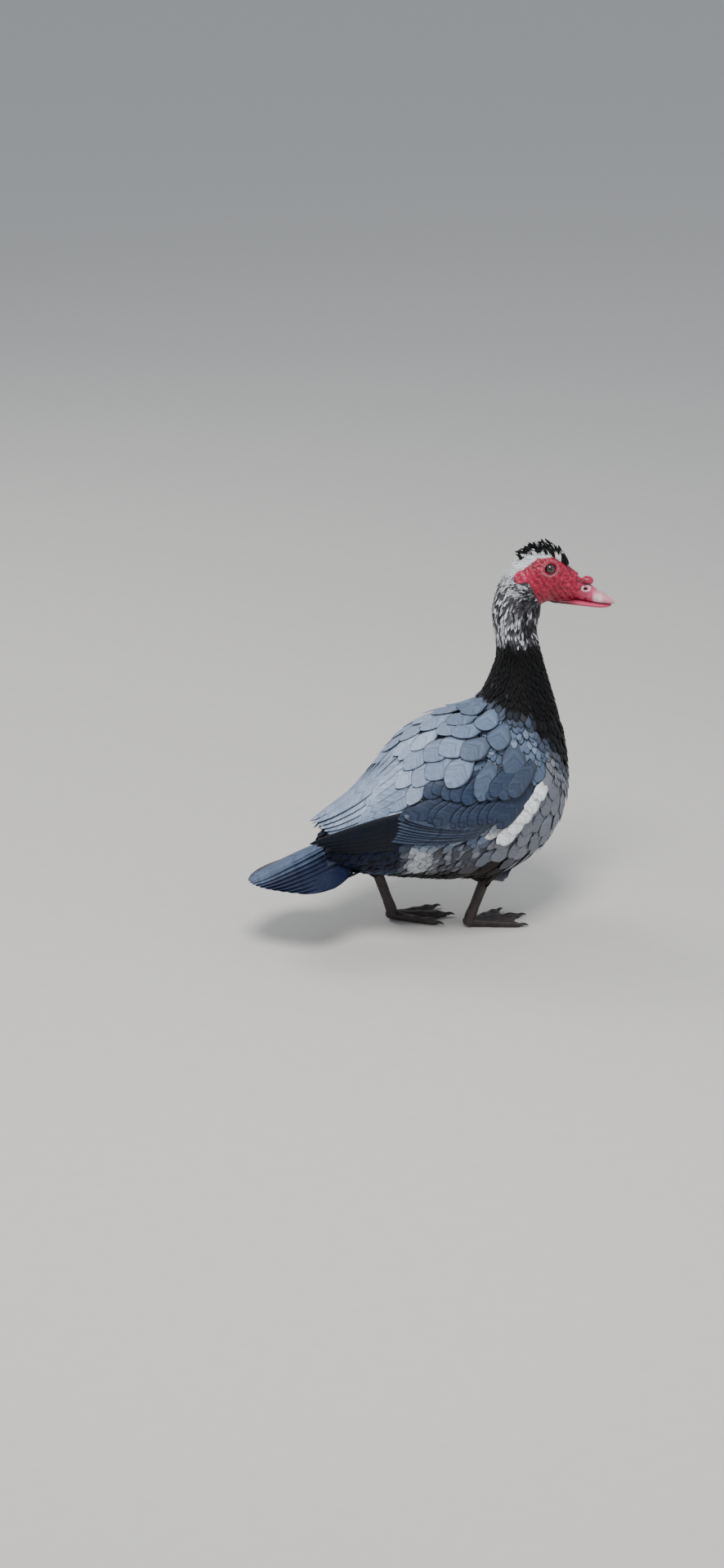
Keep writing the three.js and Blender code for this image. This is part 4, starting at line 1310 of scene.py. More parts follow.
class DUCK_OT_coat(bpy.types.Operator):
    """Lays the small feathers over head, neck, breast, belly and rump"""

    bl_idname = "duck.coat"
    bl_label = "Small feathers"

    def execute(self, context):
        sizes, c = settings("sizes"), palette()
        depths = {"head": sizes.head_depth, "neck": sizes.neck_depth}
        rng = np.random.default_rng(SEED + 1)
        tree, points, faces = skin_tree()
        root, gap = spread(rng, points, faces, coat_spacing, COAT_TRIES)
        root, out = nearest_on(tree, root)
        for name, kind in COAT.items():
            low, high = kind["gaps"]
            picked = (gap >= low) & (gap < high)
            q, o, g = root[picked], out[picked], gap[picked]
            way = lie_at(q, o, rng)
            length = g * kind["length"] * (0.85 + 0.3 * rng.random(len(q)))
            lift = depths.get(name, sizes.coat_depth) * (0.7 + 0.3 * rng.random(len(q)))
            middle, tip, up = laid(tree, q, way, length, lift * 0.65, lift * 0.95)
            ground, fringe = plumage(q + way * (length * 0.6)[:, None], rng, c)
            half = g * kind["width"] * (0.9 + 0.2 * rng.random(len(q)))
            rows, columns, camber, depth = LARGE_VANE if name == "breast" else SMALL_VANE
            vanes = Feathers(rows, columns, kind["shape"], camber, depth)
            vanes.add(q - o * 0.6, middle, tip, o, up, half, ground, fringe)
            keratin = f"soft {name} feather keratin"
            material = vane_material(keratin, 0.65, 0.04, sizes.barb, kind["fringe"], 0.2)
            vanes.build(f"coat_{name}", material, COAT_SLOTS.get(name, "body_feathers"), ragged=0.25)
        return {"FINISHED"}


# Wings

# The shoulder feathers: how far apart the rows and the feathers of a row are, and a feather's half width
SCAPULAR = {"pitch": 25, "spacing": 27, "half_width": 17.5, "in_row": 8}
# Where the tips of the lowest shoulder feathers end, as x and z seen from the side
SCAPULAR_LINE = np.array(
    [
        (-150, 168),
        (-106, 188),
        (-84, 209),
        (-52, 221),
        (-22, 228),
        (14, 206),
        (40, 210),
        (80, 218),
        (112, 228),
    ],
    float,
)
# Behind and below this place no shoulder feather ends
RUMP_EDGE = {"x": -108, "z": 160}
# The white patch: roots of its first and last feather as x and z, the step to its second row, and
# the feathers in a row
PATCH_FIRST = np.array([114.0, 216])
PATCH_LAST = np.array([66.0, 171])
PATCH_ROW_STEP = np.array([6.0, -7])
PATCH_COUNT = 5
# Median coverts, greater coverts and secondaries. Roots and tips are those of a row's first and last
# feather as x and z seen from the side. Lifts are heights over the trunk, paleness the range between
# the flight colour and slate, navy the share of navy, and scatter how far tips stray
WING_ROWS = (
    {
        "roots": ((98, 246), (-10, 246)),
        "tips": ((52, 208), (-62, 214)),
        "count": 10,
        "half_width": 12.5,
        "root_lift": 0.5,
        "tip_lifts": (11.2, 9.8),
        "paleness": (0, 1),
        "navy": 0.1,
        "scatter": 2.5,
    },
    {
        "roots": ((92, 218), (-20, 220)),
        "tips": ((34, 176), (-90, 187)),
        "count": 10,
        "half_width": 12.5,
        "root_lift": 1.0,
        "tip_lifts": (12.1, 10.7),
        "paleness": (0, 1),
        "navy": 0.45,
        "scatter": 2.5,
    },
    {
        "roots": ((30, 176), (8, 163)),
        "tips": ((-90, 186), (-118, 159)),
        "count": 9,
        "half_width": 6.5,
        "root_lift": 4.5,
        "tip_lifts": (12.5, 6.2),
        "paleness": (0.2, 0.8),
        "navy": 0,
        "scatter": 0,
    },
)
# Long inner feathers over the rump and the dark ones under them, from the back's ridge outwards:
# the share of the trunk and the angle where the first is rooted, and where the first one ends
TERTIAL = {"count": 8, "share": 0.2, "angle": 0.1, "angle_step": 0.15, "half_width": 13.5}
TERTIAL_TIP = np.array([-188.0, 4, 168])
TERTIAL_STEP = np.array([3.5, 5, -2.4])
PRIMARY = {"count": 5, "share": 0.22, "angle": 1.2, "angle_step": 0.1, "half_width": 8.5}
PRIMARY_TIP = np.array([-200.0, 27, 148])
PRIMARY_STEP = np.array([8, 3.5, -2.4])
# The left wing's primaries end this far before the right wing's
PRIMARY_STAGGER = 24
# The left side's feathers lie this much higher where both sides meet
CROSSING = {"tertials": 0.6, "tail": 0.5}


def over(t, angle, grow, side):
    """Points on the side of the trunk, angle from the back's ridge down, over the folded wing."""
    return trunk_point(np.asarray(t, float), side * np.asarray(angle, float), grow)


def out_at(t, angle, side):
    """The way out of the trunk's side."""
    return unit(over(t, angle, 8.0, side) - over(t, angle, 0.0, side))


def wing_surface(x, z, grow, side):
    """Points over the trunk's side at a place seen from the side, with the way out there."""
    t, angle = np.meshgrid(np.linspace(0.02, 0.5, 100), np.linspace(0.05, 2.2, 90), indexing="ij")
    grid = over(t, angle, 0.0, side)
    picked_t, picked_angle = np.empty(len(x)), np.empty(len(x))
    for i, (px, pz) in enumerate(zip(x, z)):
        k = np.argmin((grid[..., 0] - px) ** 2 + (grid[..., 2] - pz) ** 2)
        picked_t[i], picked_angle[i] = t.flat[k], angle.flat[k]
    return over(picked_t, picked_angle, grow, side), out_at(picked_t, picked_angle, side)


def sheet_faces(rows, columns):
    """The faces of a grid of points."""
    i, j = np.meshgrid(np.arange(rows - 1), np.arange(columns - 1), indexing="ij")
    a = i * columns + j
    return np.stack([a, a + 1, a + columns + 1, a + columns], -1).reshape(-1, 4)


def wing_tree(side):
    """The outer surface of the back and the folded wing on one side, with its way out."""
    t, angle = np.meshgrid(np.linspace(0.04, 0.52, 80), np.linspace(-0.6, 2.3, 70), indexing="ij")
    grid = over(t, angle, wing_depth(t), side)
    faces = sheet_faces(*grid.shape[:2])
    points = grid.reshape(-1, 3).tolist()
    tree = BVHTree.FromPolygons(points, faces.tolist())
    _, out, _, _ = tree.find_nearest(Vector(over(0.25, 1.2, WING_DEPTH, side)))
    if out.y * side < 0:
        tree = BVHTree.FromPolygons(points, faces[:, ::-1].tolist())
    return tree


def scapular_ways(share, angle, root, side, rng):
    """Which way the shoulder feathers point: backwards on the ridge and steeper down the side."""
    here = over(share, angle, wing_depth(share), side)
    behind = unit(over(share - 0.02, angle, wing_depth(share), side) - here)
    below = unit(over(share, angle + 0.05, 0.0, side) - over(share, angle, 0.0, side))
    front = smooth(-20, 60, root[:, 0]) * smooth(0.5, 1.1, angle)
    turn = np.radians(6 + 40 * smooth(0.25, 1.3, angle) + 22 * front)
    turn = turn + 0.11 * rng.standard_normal(len(angle))
    return unit(behind * np.cos(turn)[:, None] + below * np.sin(turn)[:, None])


def scapular_tones(tip, rng, c):
    """Slate of each shoulder feather, palest to the rear and darkest low at the front."""
    draw = rng.random((3, len(tip)))
    tone = mix(c.slate_dark, c.slate, np.clip(0.15 + draw[0], 0, 1))
    tone = mix(tone, c.slate_light, smooth(20, -70, tip[:, 0]) * (0.25 + 0.7 * draw[1]))
    low_front = smooth(-30, 20, tip[:, 0]) * smooth(275, 240, tip[:, 2])
    return mix(tone, c.slate_dark, low_front * 0.6 * draw[2])


def scapulars(side, rng, c):
    """The large rounded feathers of the back and shoulder, row behind row like shingles."""
    tree = wing_tree(side)
    vanes = Feathers(16, 9, ROUNDED, 0.13, 0.6)
    t = np.linspace(0.45, 0.12, 200)
    ridge = trunk_point(t, 0.0, wing_depth(t))
    run = np.r_[0, np.cumsum(np.linalg.norm(np.diff(ridge, axis=0), axis=1))]
    n = SCAPULAR["in_row"]
    for k in range(int(run[-1] / SCAPULAR["pitch"]) + 1):
        row_share = np.interp(k * SCAPULAR["pitch"], run, t)
        step = SCAPULAR["spacing"] / (along(TRUNK, row_share)[4] + 8)
        angle = (np.arange(n) + 0.2 + 0.5 * (k % 2)) * step + 0.02 * rng.standard_normal(n)
        share = row_share + 0.004 * rng.standard_normal(n)
        root = over(share, angle, wing_depth(share) - 4.5, side)
        way = scapular_ways(share, angle, root, side, rng)
        length = 50 + 9 * smooth(0.4, 1.1, angle) + 4 * rng.standard_normal(n)
        place, out = nearest_on(tree, root)
        # Every other feather of a row lies a little higher, so that neighbours don't share a plane
        layer = 0.9 * (np.arange(n) % 2)
        middle, tip, up = laid(tree, place, way, length, layer * 0.5 - 1.6, 0.3 + layer)
        line = np.interp(tip[:, 0], SCAPULAR_LINE[:, 0], SCAPULAR_LINE[:, 1])
        keep = ((tip[:, 2] > line - 5) | (angle < 0.75)) & (black_border(root) < 16)
        keep &= (tip[:, 0] > RUMP_EDGE["x"]) | (tip[:, 2] > RUMP_EDGE["z"])
        root, middle, tip, out, up = (v[keep] for v in (root, middle, tip, out, up))
        tone = scapular_tones(tip, rng, c)
        half = SCAPULAR["half_width"] + 1.5 * rng.standard_normal(len(root))
        fringe = mix(c.fringe, tone, 0.15 * rng.random(len(root)))
        vanes.add(root, middle, tip, out, up, half, tone, fringe)
    return vanes


def patch_feathers(side, c):
    """The short white feathers of the patch at the front of the wing."""
    tree = wing_tree(side)
    vanes = Feathers(10, 7, ROUNDED, 0.13, 0.5)
    for f in np.linspace(0, 1, PATCH_COUNT):
        for row in range(2):
            x, z = lerp(PATCH_FIRST, PATCH_LAST, f) + PATCH_ROW_STEP * row
            root, out = nearest_on(tree, wing_surface([x], [z], 8.0, side)[0])
            way = np.array([[-0.82, 0, -0.57 + 0.12 * row]])
            middle, tip, up = laid(tree, root, way, np.array([30.0 + 8 * f]), [1.4], [2.8 + 0.6 * row])
            half = 6.5 + 5 * math.sin(math.pi * min(f + 0.1, 0.75))
            vanes.add(root - out * 1.5, middle, tip, out, up, half, c.white, c.white)
    return vanes


def coverts_and_secondaries(side, rng, c):
    """The rows of long feathers below the shoulder, laid one by one from front to rear."""
    vanes = Feathers(14, 9, BROAD, 0.12, 0.7)
    for row in WING_ROWS:
        low, high = row["paleness"]
        for f in np.linspace(0, 1, row["count"]):
            tone = mix(c.flight, c.slate_dark, low + (high - low) * rng.random())
            tone = mix(tone, c.navy, row["navy"])
            root, tip = (lerp(*np.array(row[ends], float), f) for ends in ("roots", "tips"))
            if row["scatter"]:
                tip = tip + row["scatter"] * rng.standard_normal(2)
            root_lift, tip_lift = row["root_lift"], lerp(*row["tip_lifts"], f)
            x, z = np.array([root, (root + tip) / 2, tip]).T
            lifts = np.array([root_lift, (root_lift + tip_lift) / 2 + 0.5, tip_lift])
            place, out = wing_surface(x, z, 0.0, side)
            place = place + out * lifts[:, None]
            vanes.add(*place, out[0], out[2], row["half_width"], tone, c.flight_dark)
    return vanes


def tertials_and_primaries(side, rng, c):
    """The inner feathers that cover the rump, palest of all, and the dark points under them."""
    vanes = Feathers(16, 9, POINTED, 0.14, 0.8)
    mirror = np.array([1, side, 1])
    for k in range(TERTIAL["count"]):
        angle = TERTIAL["angle"] + TERTIAL["angle_step"] * k
        root = over(TERTIAL["share"], angle, 5.0, side)
        tip = mirror * (TERTIAL_TIP + TERTIAL_STEP * k) + UP * CROSSING["tertials"] * (side > 0)
        middle = lerp(root, tip, 0.5) + np.array([0, side * 4, -7])
        tone = mix(c.slate_light, c.slate, float(rng.random()) * 0.9)
        up = unit(np.array([0.15, side * (0.05 + 0.17 * k), 1.0]))
        half = TERTIAL["half_width"] - 0.5 * k
        out = out_at(TERTIAL["share"], angle, side)
        vanes.add(root, middle, tip, out, up, half, tone, c.fringe)
    for k in range(PRIMARY["count"]):
        angle = PRIMARY["angle"] + PRIMARY["angle_step"] * k
        root = over(PRIMARY["share"], angle, 1.5, side)
        tip = mirror * (PRIMARY_TIP + PRIMARY_STEP * k)
        tip[0] += PRIMARY_STAGGER * (side > 0)
        middle = lerp(root, tip, 0.5) + np.array([0, side * 5, 2])
        tone = mix(c.flight_dark, c.black, 0.3 * k / (PRIMARY["count"] - 1))
        up = unit(np.array([0.1, side, 0.55]))
        out = out_at(0.17, angle, side)
        vanes.add(root, middle, tip, out, up, PRIMARY["half_width"], tone, c.black)
    return vanes


class DUCK_OT_wings(bpy.types.Operator):
    """Lays the wings' feathers: scapulars, coverts, secondaries, tertials and primaries"""

    bl_idname = "duck.wings"
    bl_label = "Wings"

    def execute(self, context):
        c = palette()
        barb = settings("sizes").barb
        large = vane_material("large covert keratin", 0.55, 0.12, barb, 0.9, 0.3)
        flight = vane_material("satin flight feather keratin", 0.42, 0.08, barb * 0.8, 1.2, 0.35)
        slot = "wing_feathers"
        for side, name in SIDES:
            rng = np.random.default_rng(SEED + 5 + side)
            scapulars(side, rng, c).build(f"scapulars_{name}", large, slot, f"wing_{name}", ragged=0.04)
            patch_feathers(side, c).build(f"patch_{name}", large, slot, ragged=0.04)
            rows = coverts_and_secondaries(side, rng, c)
            rows.build(f"secondaries_{name}", flight, slot, ragged=0.03)
            points = tertials_and_primaries(side, rng, c)
            points.build(f"tertials_{name}", flight, slot, ragged=0.03)
        return {"FINISHED"}


# Tail

# The fan on each side of the tail: its feathers, the step from one to the next, the x and z of the
# middle ones' roots and tips, and a feather's half width
TAIL_FAN = {"count": 9, "step": 0.68, "root": (-146, 145), "tip": (-276, 94.5), "half_width": 13.5}
# Coverts over and under the tail: rows, places in a row, the first row's x and the step to the next
TAIL_TOP = {"rows": 4, "places": range(1, 6), "x": -112, "row_step": 15, "pitch": 13, "half_width": 12}
TAIL_UNDER = {"rows": 4, "places": range(7), "x": -126, "row_step": 16, "pitch": 12.5, "half_width": 12}


def tail_feathers(rng, c):
    """The fan of long feathers, the middle ones on top."""
    vanes = Feathers(18, 9, BROAD, 0.1, 0.8)
    for side, _ in SIDES:
        for k in range(TAIL_FAN["count"]):
            y = side * (k + 0.5) * TAIL_FAN["step"]
            drop = abs(y)
            (root_x, root_z), (tip_x, tip_z) = TAIL_FAN["root"], TAIL_FAN["tip"]
            root = np.array([root_x, 6 * y, root_z - 6.3 * drop])
            tip = np.array([tip_x + 1.5 * drop ** 2, 8.4 * y, tip_z - 0.6 * drop])
            tip = tip + UP * CROSSING["tail"] * (side > 0)
            middle = lerp(root, tip, 0.5) + np.array([0, 2 * y, 2.5])
            tone = mix(mix(c.tail, c.slate, 0.5 * float(rng.random())), c.navy, min(k / 2.5, 1))
            up_root, up_tip = unit(np.array([[0.4, 0.14 * y, 1.0], [0.35, 0.02 * y, 1.0]]))
            vanes.add(root, middle, tip, up_root, up_tip, TAIL_FAN["half_width"], tone, c.navy)
    return vanes


def tail_places(cover, shift):
    """Each covert's row, its x and its y, with every other row shifted sideways."""
    for row in range(cover["rows"]):
        for j in cover["places"]:
            y = cover["pitch"] * (j - 3) + shift * (row % 2) * (1 if j < 3 else -1)
            yield row, cover["x"] - cover["row_step"] * row, y


def tail_coverts(rng, c):
    """The short feathers that close the tail's root above and below."""
    vanes = Feathers(12, 9, ROUNDED, 0.14, 0.6)
    for _, x, y in tail_places(TAIL_TOP, 6.5):
        root = np.array([x, 0.9 * y, 163 + 0.558 * (x - TAIL_TOP["x"]) - 0.35 * abs(y)])
        tip = root + np.array([-46.0, 0.12 * y, -25 - 0.05 * abs(y)])
        middle = lerp(root, tip, 0.5) + UP * 3
        tone = mix(mix(c.slate, c.slate_dark, float(rng.random())), c.navy, float(smooth(10, 30, abs(y))))
        up = unit(np.array([0.4, 0.01 * y, 1.0]))
        vanes.add(root, middle, tip, up, up, TAIL_TOP["half_width"], tone, c.fringe)
    for row, x, y in tail_places(TAIL_UNDER, 6):
        root = np.array([x, 0.95 * y, 101 + 0.1 * abs(y) + 0.02 * row])
        tip = root + np.array([-44.0, 0.2 * y, -3.5 - 0.08 * abs(y)])
        middle = lerp(root, tip, 0.5) - UP * 3
        up = unit(np.array([-0.1, 0.01 * y, -1.0]))
        tone = mix(c.navy, c.black, float(rng.random()))
        vanes.add(root, middle, tip, up, up, TAIL_UNDER["half_width"], tone, c.black)
    return vanes


class DUCK_OT_tail(bpy.types.Operator):
    """Lays the tail's long feathers with the coverts above and below them"""

    bl_idname = "duck.tail"
    bl_label = "Tail"

    def execute(self, context):
        c = palette()
        barb = settings("sizes").barb
        rng = np.random.default_rng(SEED + 9)
        flight = vane_material("satin tail feather keratin", 0.42, 0.08, barb * 0.8, 1.0, 0.35)
        tail_feathers(rng, c).build("tail_feathers", flight, "tail_feathers", "tail", ragged=0.04)
        soft = vane_material("tail covert keratin", 0.5, 0.3, barb, 1.0, 0.2)
        tail_coverts(rng, c).build("tail_coverts", soft, "tail_feathers", ragged=0.1)
        return {"FINISHED"}


# Head

# The crest: shares from its front at 0 to its rear at 1 with the height its locks reach, and the
# share of black locks
CREST = {"front": 59, "reach": 56, "half_width": 11}
CREST_TOP = ((0, 0.1, 0.3, 0.5, 0.75, 1), (512, 520, 525.5, 525, 519, 508))
CREST_BLACK = ((0, 0.15, 0.35, 1), (0.75, 0.5, 0.42, 0.3))
CROWN = ((-12, 0, 17, 32, 46, 58), (490, 503, 512, 513, 507, 496))


class DUCK_OT_crest(bpy.types.Operator):
    """Raises the crest, narrow locks that lean up and back from the crown"""

    bl_idname = "duck.crest"
    bl_label = "Crest"

    def execute(self, context):
        c = palette()
        rng = np.random.default_rng(SEED + 13)
        n = settings("sizes").crest_locks
        share = rng.random(n)
        p = CREST["front"] - CREST["reach"] * share + 1.5 * rng.standard_normal(n)
        l = CREST["half_width"] * (rng.random(n) * 2 - 1) * (0.75 + 0.4 * np.sin(share * math.pi))
        z = np.interp(p, *CROWN) - 0.02 * l ** 2
        length = np.interp(share, *CREST_TOP) - z + 3 * rng.standard_normal(n)
        length = np.maximum(length * (1 - 0.012 * np.abs(l)), 8)
        lean = 0.3 + 0.85 * share + 0.15 * rng.standard_normal(n)
        root = head_point(p, l, z)
        tip = head_point(p - lean * length, l * 1.25 + 1.2 * rng.standard_normal(n), z + length)
        middle = lerp(root, tip, 0.5) + HEAD_FORWARD * (0.1 * length)[:, None]
        turn = rng.uniform(-0.5, 0.5, n)[:, None]
        up = unit(HEAD_LEFT * np.where(rng.random(n) < 0.5, -1, 1)[:, None] + HEAD_FORWARD * turn)
        dark = (rng.random(n) < np.interp(share, *CREST_BLACK))[:, None]
        ground = np.where(dark, c.black, mix(c.white, c.mottle, 0.35 * rng.random(n)))
        fringe = np.where((rng.random(n) < 0.8)[:, None], c.black, ground)
        material = vane_material("loose crest feather keratin", 0.6, 0.2, 0.8, 0.5, 0.25, tip_from=0.55)
        vanes = Feathers(9, 5, LOCK, 0.2, 0.4)
        vanes.add(root, middle, tip, up, up, 2.6 + 0.7 * rng.random(n), ground, fringe)
        vanes.build("crest", material, "head_feathers", ragged=0.25)
        return {"FINISHED"}


class DUCK_OT_eyes(bpy.types.Operator):
    """Sets the two eyes into the face"""

    bl_idname = "duck.eyes"
    bl_label = "Eyes"

    def execute(self, context):
        material = eye_material()
        r = EYE["radius"]
        angle, share = ball_grid(48, 40, 0.02)
        forwards, upwards = r * np.sin(share) * np.cos(angle), r * np.sin(share) * np.sin(angle)
        outwards = EYE["flatness"] * r * np.cos(share)
        for side, name in SIDES:
            centre = eye_centre(side)
            points = centre + forwards[..., None] * HEAD_FORWARD + upwards[..., None] * UP
            piece = loft_object(f"wet_eye_{name}", points + side * outwards[..., None] * HEAD_LEFT)
            q = points_of(piece.data) - centre
            store(piece.data, "off_axis", np.hypot(q @ HEAD_FORWARD, q @ UP) / r)
            finish_piece(piece, material, "eye", f"eye_{name}")
        return {"FINISHED"}


# The line between knob and bill: its z over the knob's middle, its slope and its width
CREASE = {"z": 470.5, "slope": 0.35, "width": 1.3}


def knob_object():
    """The fleshy knob at the root of the bill."""
    a, b = ball_grid(48, 30, 0.02)
    r = KNOB["radius"]
    p = KNOB["p"] + 0.95 * r * np.cos(b)
    l = 0.75 * r * np.sin(b) * np.cos(a)
    return loft_object("knob", head_point(p, l, KNOB["z"] - 0.5 + 0.72 * r * np.sin(b) * np.sin(a)))


def bill_marks(points):
    """Shares of the nostril's rim and hole, the knob's crease, the edge, the lumps and the nail."""
    p, l, z = in_head(points)
    away = np.hypot((p - NOSTRIL["p"]) / 1.5, z - NOSTRIL["z"])
    beside = np.abs(l) > 5
    over_crease = z - CREASE["z"] + CREASE["slope"] * (p - KNOB["p"])
    return SimpleNamespace(
        rim=np.exp(-(((away - 3.3) / 1.1) ** 2)) * beside,
        hole=smooth(2.8, 1.2, away) * beside,
        crease=np.exp(-((over_crease / CREASE["width"]) ** 2)) * smooth(77, 81, p) * smooth(99, 94, p),
        edge=smooth(2.2, 0.4, z - np.interp(p, BILL_UPPER[:, 0], BILL_UPPER[:, 2])),
        lumps=noisy(points, 4.5, 5) * smooth(104, 92, p),
        nail=smooth(116.5, 118.5, p) * smooth(5.5, 4.5, np.abs(l)),
    )


def bill_colours(points, marks, c):
    """Red at the root and on the knob, a pale band, and a pink tip with a paler nail, with painted shade in
    the knob's crease, in the hollows between the lumps and in the nostrils' holes.
    """
    p, _, z = in_head(points)
    base = mix(c.face, c.bill, smooth(72, 88, p))
    base = mix(base, c.face, smooth(470, 474, z) * smooth(80, 83, p) * smooth(101, 97, p) * 0.75)
    base = mix(base, c.bill_pale, smooth(94, 99, p) * smooth(114, 106, p) * smooth(466, 452, z) * 0.9)
    base = mix(base, mix(c.bill, c.bill_pale, 0.45), smooth(106, 112, p) * 0.8)
    base = mix(base, c.bill_pale, marks.nail * 0.6)
    base = mix(base, c.bill_pale, marks.rim * 0.75)
    # Painted shade: darker in the hollows between the lumps and in the knob's crease
    painted_hollow_shade = 0.8 * smooth(0.1, -0.6, marks.lumps) * smooth(92, 84, p)
    base = mix(base, c.face_dark_and_crease_shade * 0.35, np.clip(marks.crease * 0.85 + painted_hollow_shade, 0, 1))
    # Painted shade: the nostril's sunken hole painted almost black
    return mix(base, c.face_dark_and_crease_shade * 0.1, smooth(0.3, 0.9, marks.hole))


class DUCK_OT_bill(bpy.types.Operator):
    """Makes the bill with its knob, nostrils and nail"""

    bl_idname = "duck.bill"
    bl_label = "Bill"

    def execute(self, context):
        c = palette()
        material = horn_material()
        t, angle = tube_grid(90, 72)
        upper = loft_object("upper", head_ring(BILL_UPPER, t, angle, BILL_FULLNESS))
        piece = fused(joined("bill_top", [upper, knob_object()]), BILL_GRAIN, 5)
        mesh = piece.data
        points, out = points_of(mesh), normals_of(mesh)
        marks = bill_marks(points)
        raised = 0.5 * marks.rim + 0.35 * marks.lumps + 0.4 * marks.nail + 0.3 * marks.edge
        sunk = 4.5 * marks.hole + 0.7 * marks.crease
        set_points(mesh, points + out * (raised - sunk)[:, None])
        store(mesh, "ground", bill_colours(points, marks, c))
        finish_piece(piece, material, "bill", "bill_upper")
        lower = loft_object("bill_under", head_ring(BILL_LOWER, t, angle, BILL_FULLNESS, 0.8))
        lower = fused(lower, BILL_GRAIN, 3)
        p, _, _ = in_head(points_of(lower.data))
        store(lower.data, "ground", mix(c.face_dark_and_crease_shade, c.bill, smooth(60, 84, p)))
        finish_piece(lower, material, "bill", "bill_lower")
        return {"FINISHED"}


# Legs

FOOT_GRAIN = 0.9
# Radii of the shank at shares of the way down it
SHANK = ((0, 0.1, 0.25, 0.75, 0.92, 1), (8.8, 9.2, 7.2, 6.6, 7.8, 7.6))
KNUCKLES = 3
SHANK_PLATES = 13
CLAW = {"length": 11, "radius": 2.5}
# How far a web reaches towards the toes' ends, how deep its front edge is scalloped, and the
# height of its root, its front and its underside
WEB = {"reach": 0.96, "scallop": 0.14, "root_z": 6.5, "front_z": 4.2, "under_z": 0.3}


def ball(centre, radii):
    """A ball or an egg with its three radii."""
    angle, share = ball_grid(24, 14, 0.05)
    shape = np.stack([np.sin(share) * np.cos(angle), np.sin(share) * np.sin(angle), np.cos(share)], -1)
    return loft_object("ball", np.asarray(centre, float) + shape * np.asarray(radii, float))


def web_object(a, b, middle):
    """A thin sheet from the foot's middle to two toes, scalloped at its front edge."""
    f, g = np.meshgrid(np.linspace(0, 1, 22), np.linspace(0, 1, 22), indexing="ij")
    across = np.sin(g * math.pi)
    reach = f * (1 - WEB["scallop"] * across)
    upper = middle + (lerp(a, b, g[..., None]) - middle) * reach[..., None]
    lower = upper.copy()
    ripple = 0.4 * np.sin(g * math.pi * 7) * f
    upper[..., 2] = lerp(WEB["root_z"], WEB["front_z"], f) - 0.7 * across * f + ripple
    lower[..., 2] = WEB["under_z"]
    return loft_object("web", np.concatenate([upper, lower[:, ::-1]], 1))


def toe_objects(under, way, length, radius):
    """One toe and its claw, from the foot's middle on the ground along a way."""
    start, end = under + UP * (radius + 3), under + way * length + UP * (radius * 0.8)
    s = np.linspace(0, 1, 26)
    line = lerp(start, end, s[:, None])
    knuckle = 1 + 0.16 * np.abs(np.sin(s * math.pi * KNUCKLES)) ** 3
    wide = np.interp(s, [0, 0.8, 1], [radius * 1.15, radius * 0.92, radius * 0.62]) * knuckle
    line[:, 2] = np.maximum(line[:, 2] - 0.6, wide * 0.98)
    s = np.linspace(0, 1, 14)
    rise = 2.2 * np.sin(s * 1.9) - 3.4 * s ** 2
    curve = end + way * (CLAW["length"] * s)[:, None] + UP * rise[:, None]
    curve[:, 2] = np.maximum(curve[:, 2], 1.2)
    claw = tube_points(curve, CLAW["radius"] * (1 - s) ** 0.7 + 0.25, 16)
    return loft_object("toe", tube_points(line, wide)), loft_object("claw", claw)


def leg_objects(name, leg):
    """The shank, toes and webs of one leg, and its claws."""
    ankle, toes = np.array(leg["ankle"], float), np.array(leg["toes"], float)
    f = np.linspace(0, 1, 20)
    path = lerp(ankle + (ankle - toes) * 0.1, toes, f[:, None])
    parts = [loft_object("shank", tube_points(path, np.interp(f, *SHANK)))]
    parts.append(ball(toes - UP * 3.5, (9.5, 8.5, 7.5)))
    under = np.array([toes[0], toes[1], 0.0])
    ends, claws = [], []
    for turn, length, radius in TOES:
        yaw = math.radians(leg["heading"]) + math.radians(turn if name == "right" else -turn)
        way = np.array([math.cos(yaw), math.sin(yaw), 0])
        toe, claw = toe_objects(under, way, length, radius)
        parts.append(toe)
        claws.append(claw)
        ends.append(under + way * (length * WEB["reach"]))
    ends.sort(key=lambda q: math.atan2(q[1] - toes[1], q[0] - toes[0]))
    for a, b in zip(ends, ends[1:]):
        parts.append(web_object(a, b, under - np.array([3.0, 0, 0])))
    return parts, claws


class DUCK_OT_legs(bpy.types.Operator):
    """Makes the scaled shanks, the webbed feet and their claws"""

    bl_idname = "duck.legs"
    bl_label = "Legs"

    def execute(self, context):
        c = palette()
        leather, horn = scale_material(), claw_material()
        for name, leg in LEGS.items():
            parts, claws = leg_objects(name, leg)
            piece = fused(joined(f"leg_{name}", parts), FOOT_GRAIN, 5)
            mesh = piece.data
            points, out = points_of(mesh), normals_of(mesh)
            z = points[:, 2]
            share = (z - leg["toes"][2]) / (leg["ankle"][2] - leg["toes"][2])
            plates = np.abs(np.sin(share * SHANK_PLATES * math.pi)) ** 0.5 * np.clip((z - 16) / 8, 0, 1)
            shaped = points + out * (0.35 * plates)[:, None]
            shaped[:, 2] = np.maximum(shaped[:, 2], 0.05)
            set_points(mesh, shaped)
            base = mix(c.leg, c.web, smooth(7.5, 5.5, z) * smooth(0.3, 0.8, out[:, 2]) * 0.8)
            base = mix(base, c.leg * 0.5, smooth(0.1, -0.5, noisy(points, 14)) * 0.5)
            store(mesh, "ground", base)
            finish_piece(piece, leather, "leg_skin", f"shank_{name}", f"foot_{name}")
            nails = joined(f"claws_{name}", claws)
            shade_smooth(nails.data)
            finish_piece(nails, horn, "leg_skin")
        return {"FINISHED"}


# Studio

FLOOR_SIZE_M = 80
ROOM_LIGHT = {"colour": (0.82, 0.89, 1.0, 1), "strength": 0.55}
AIM_M = (0, 0, 0.25)
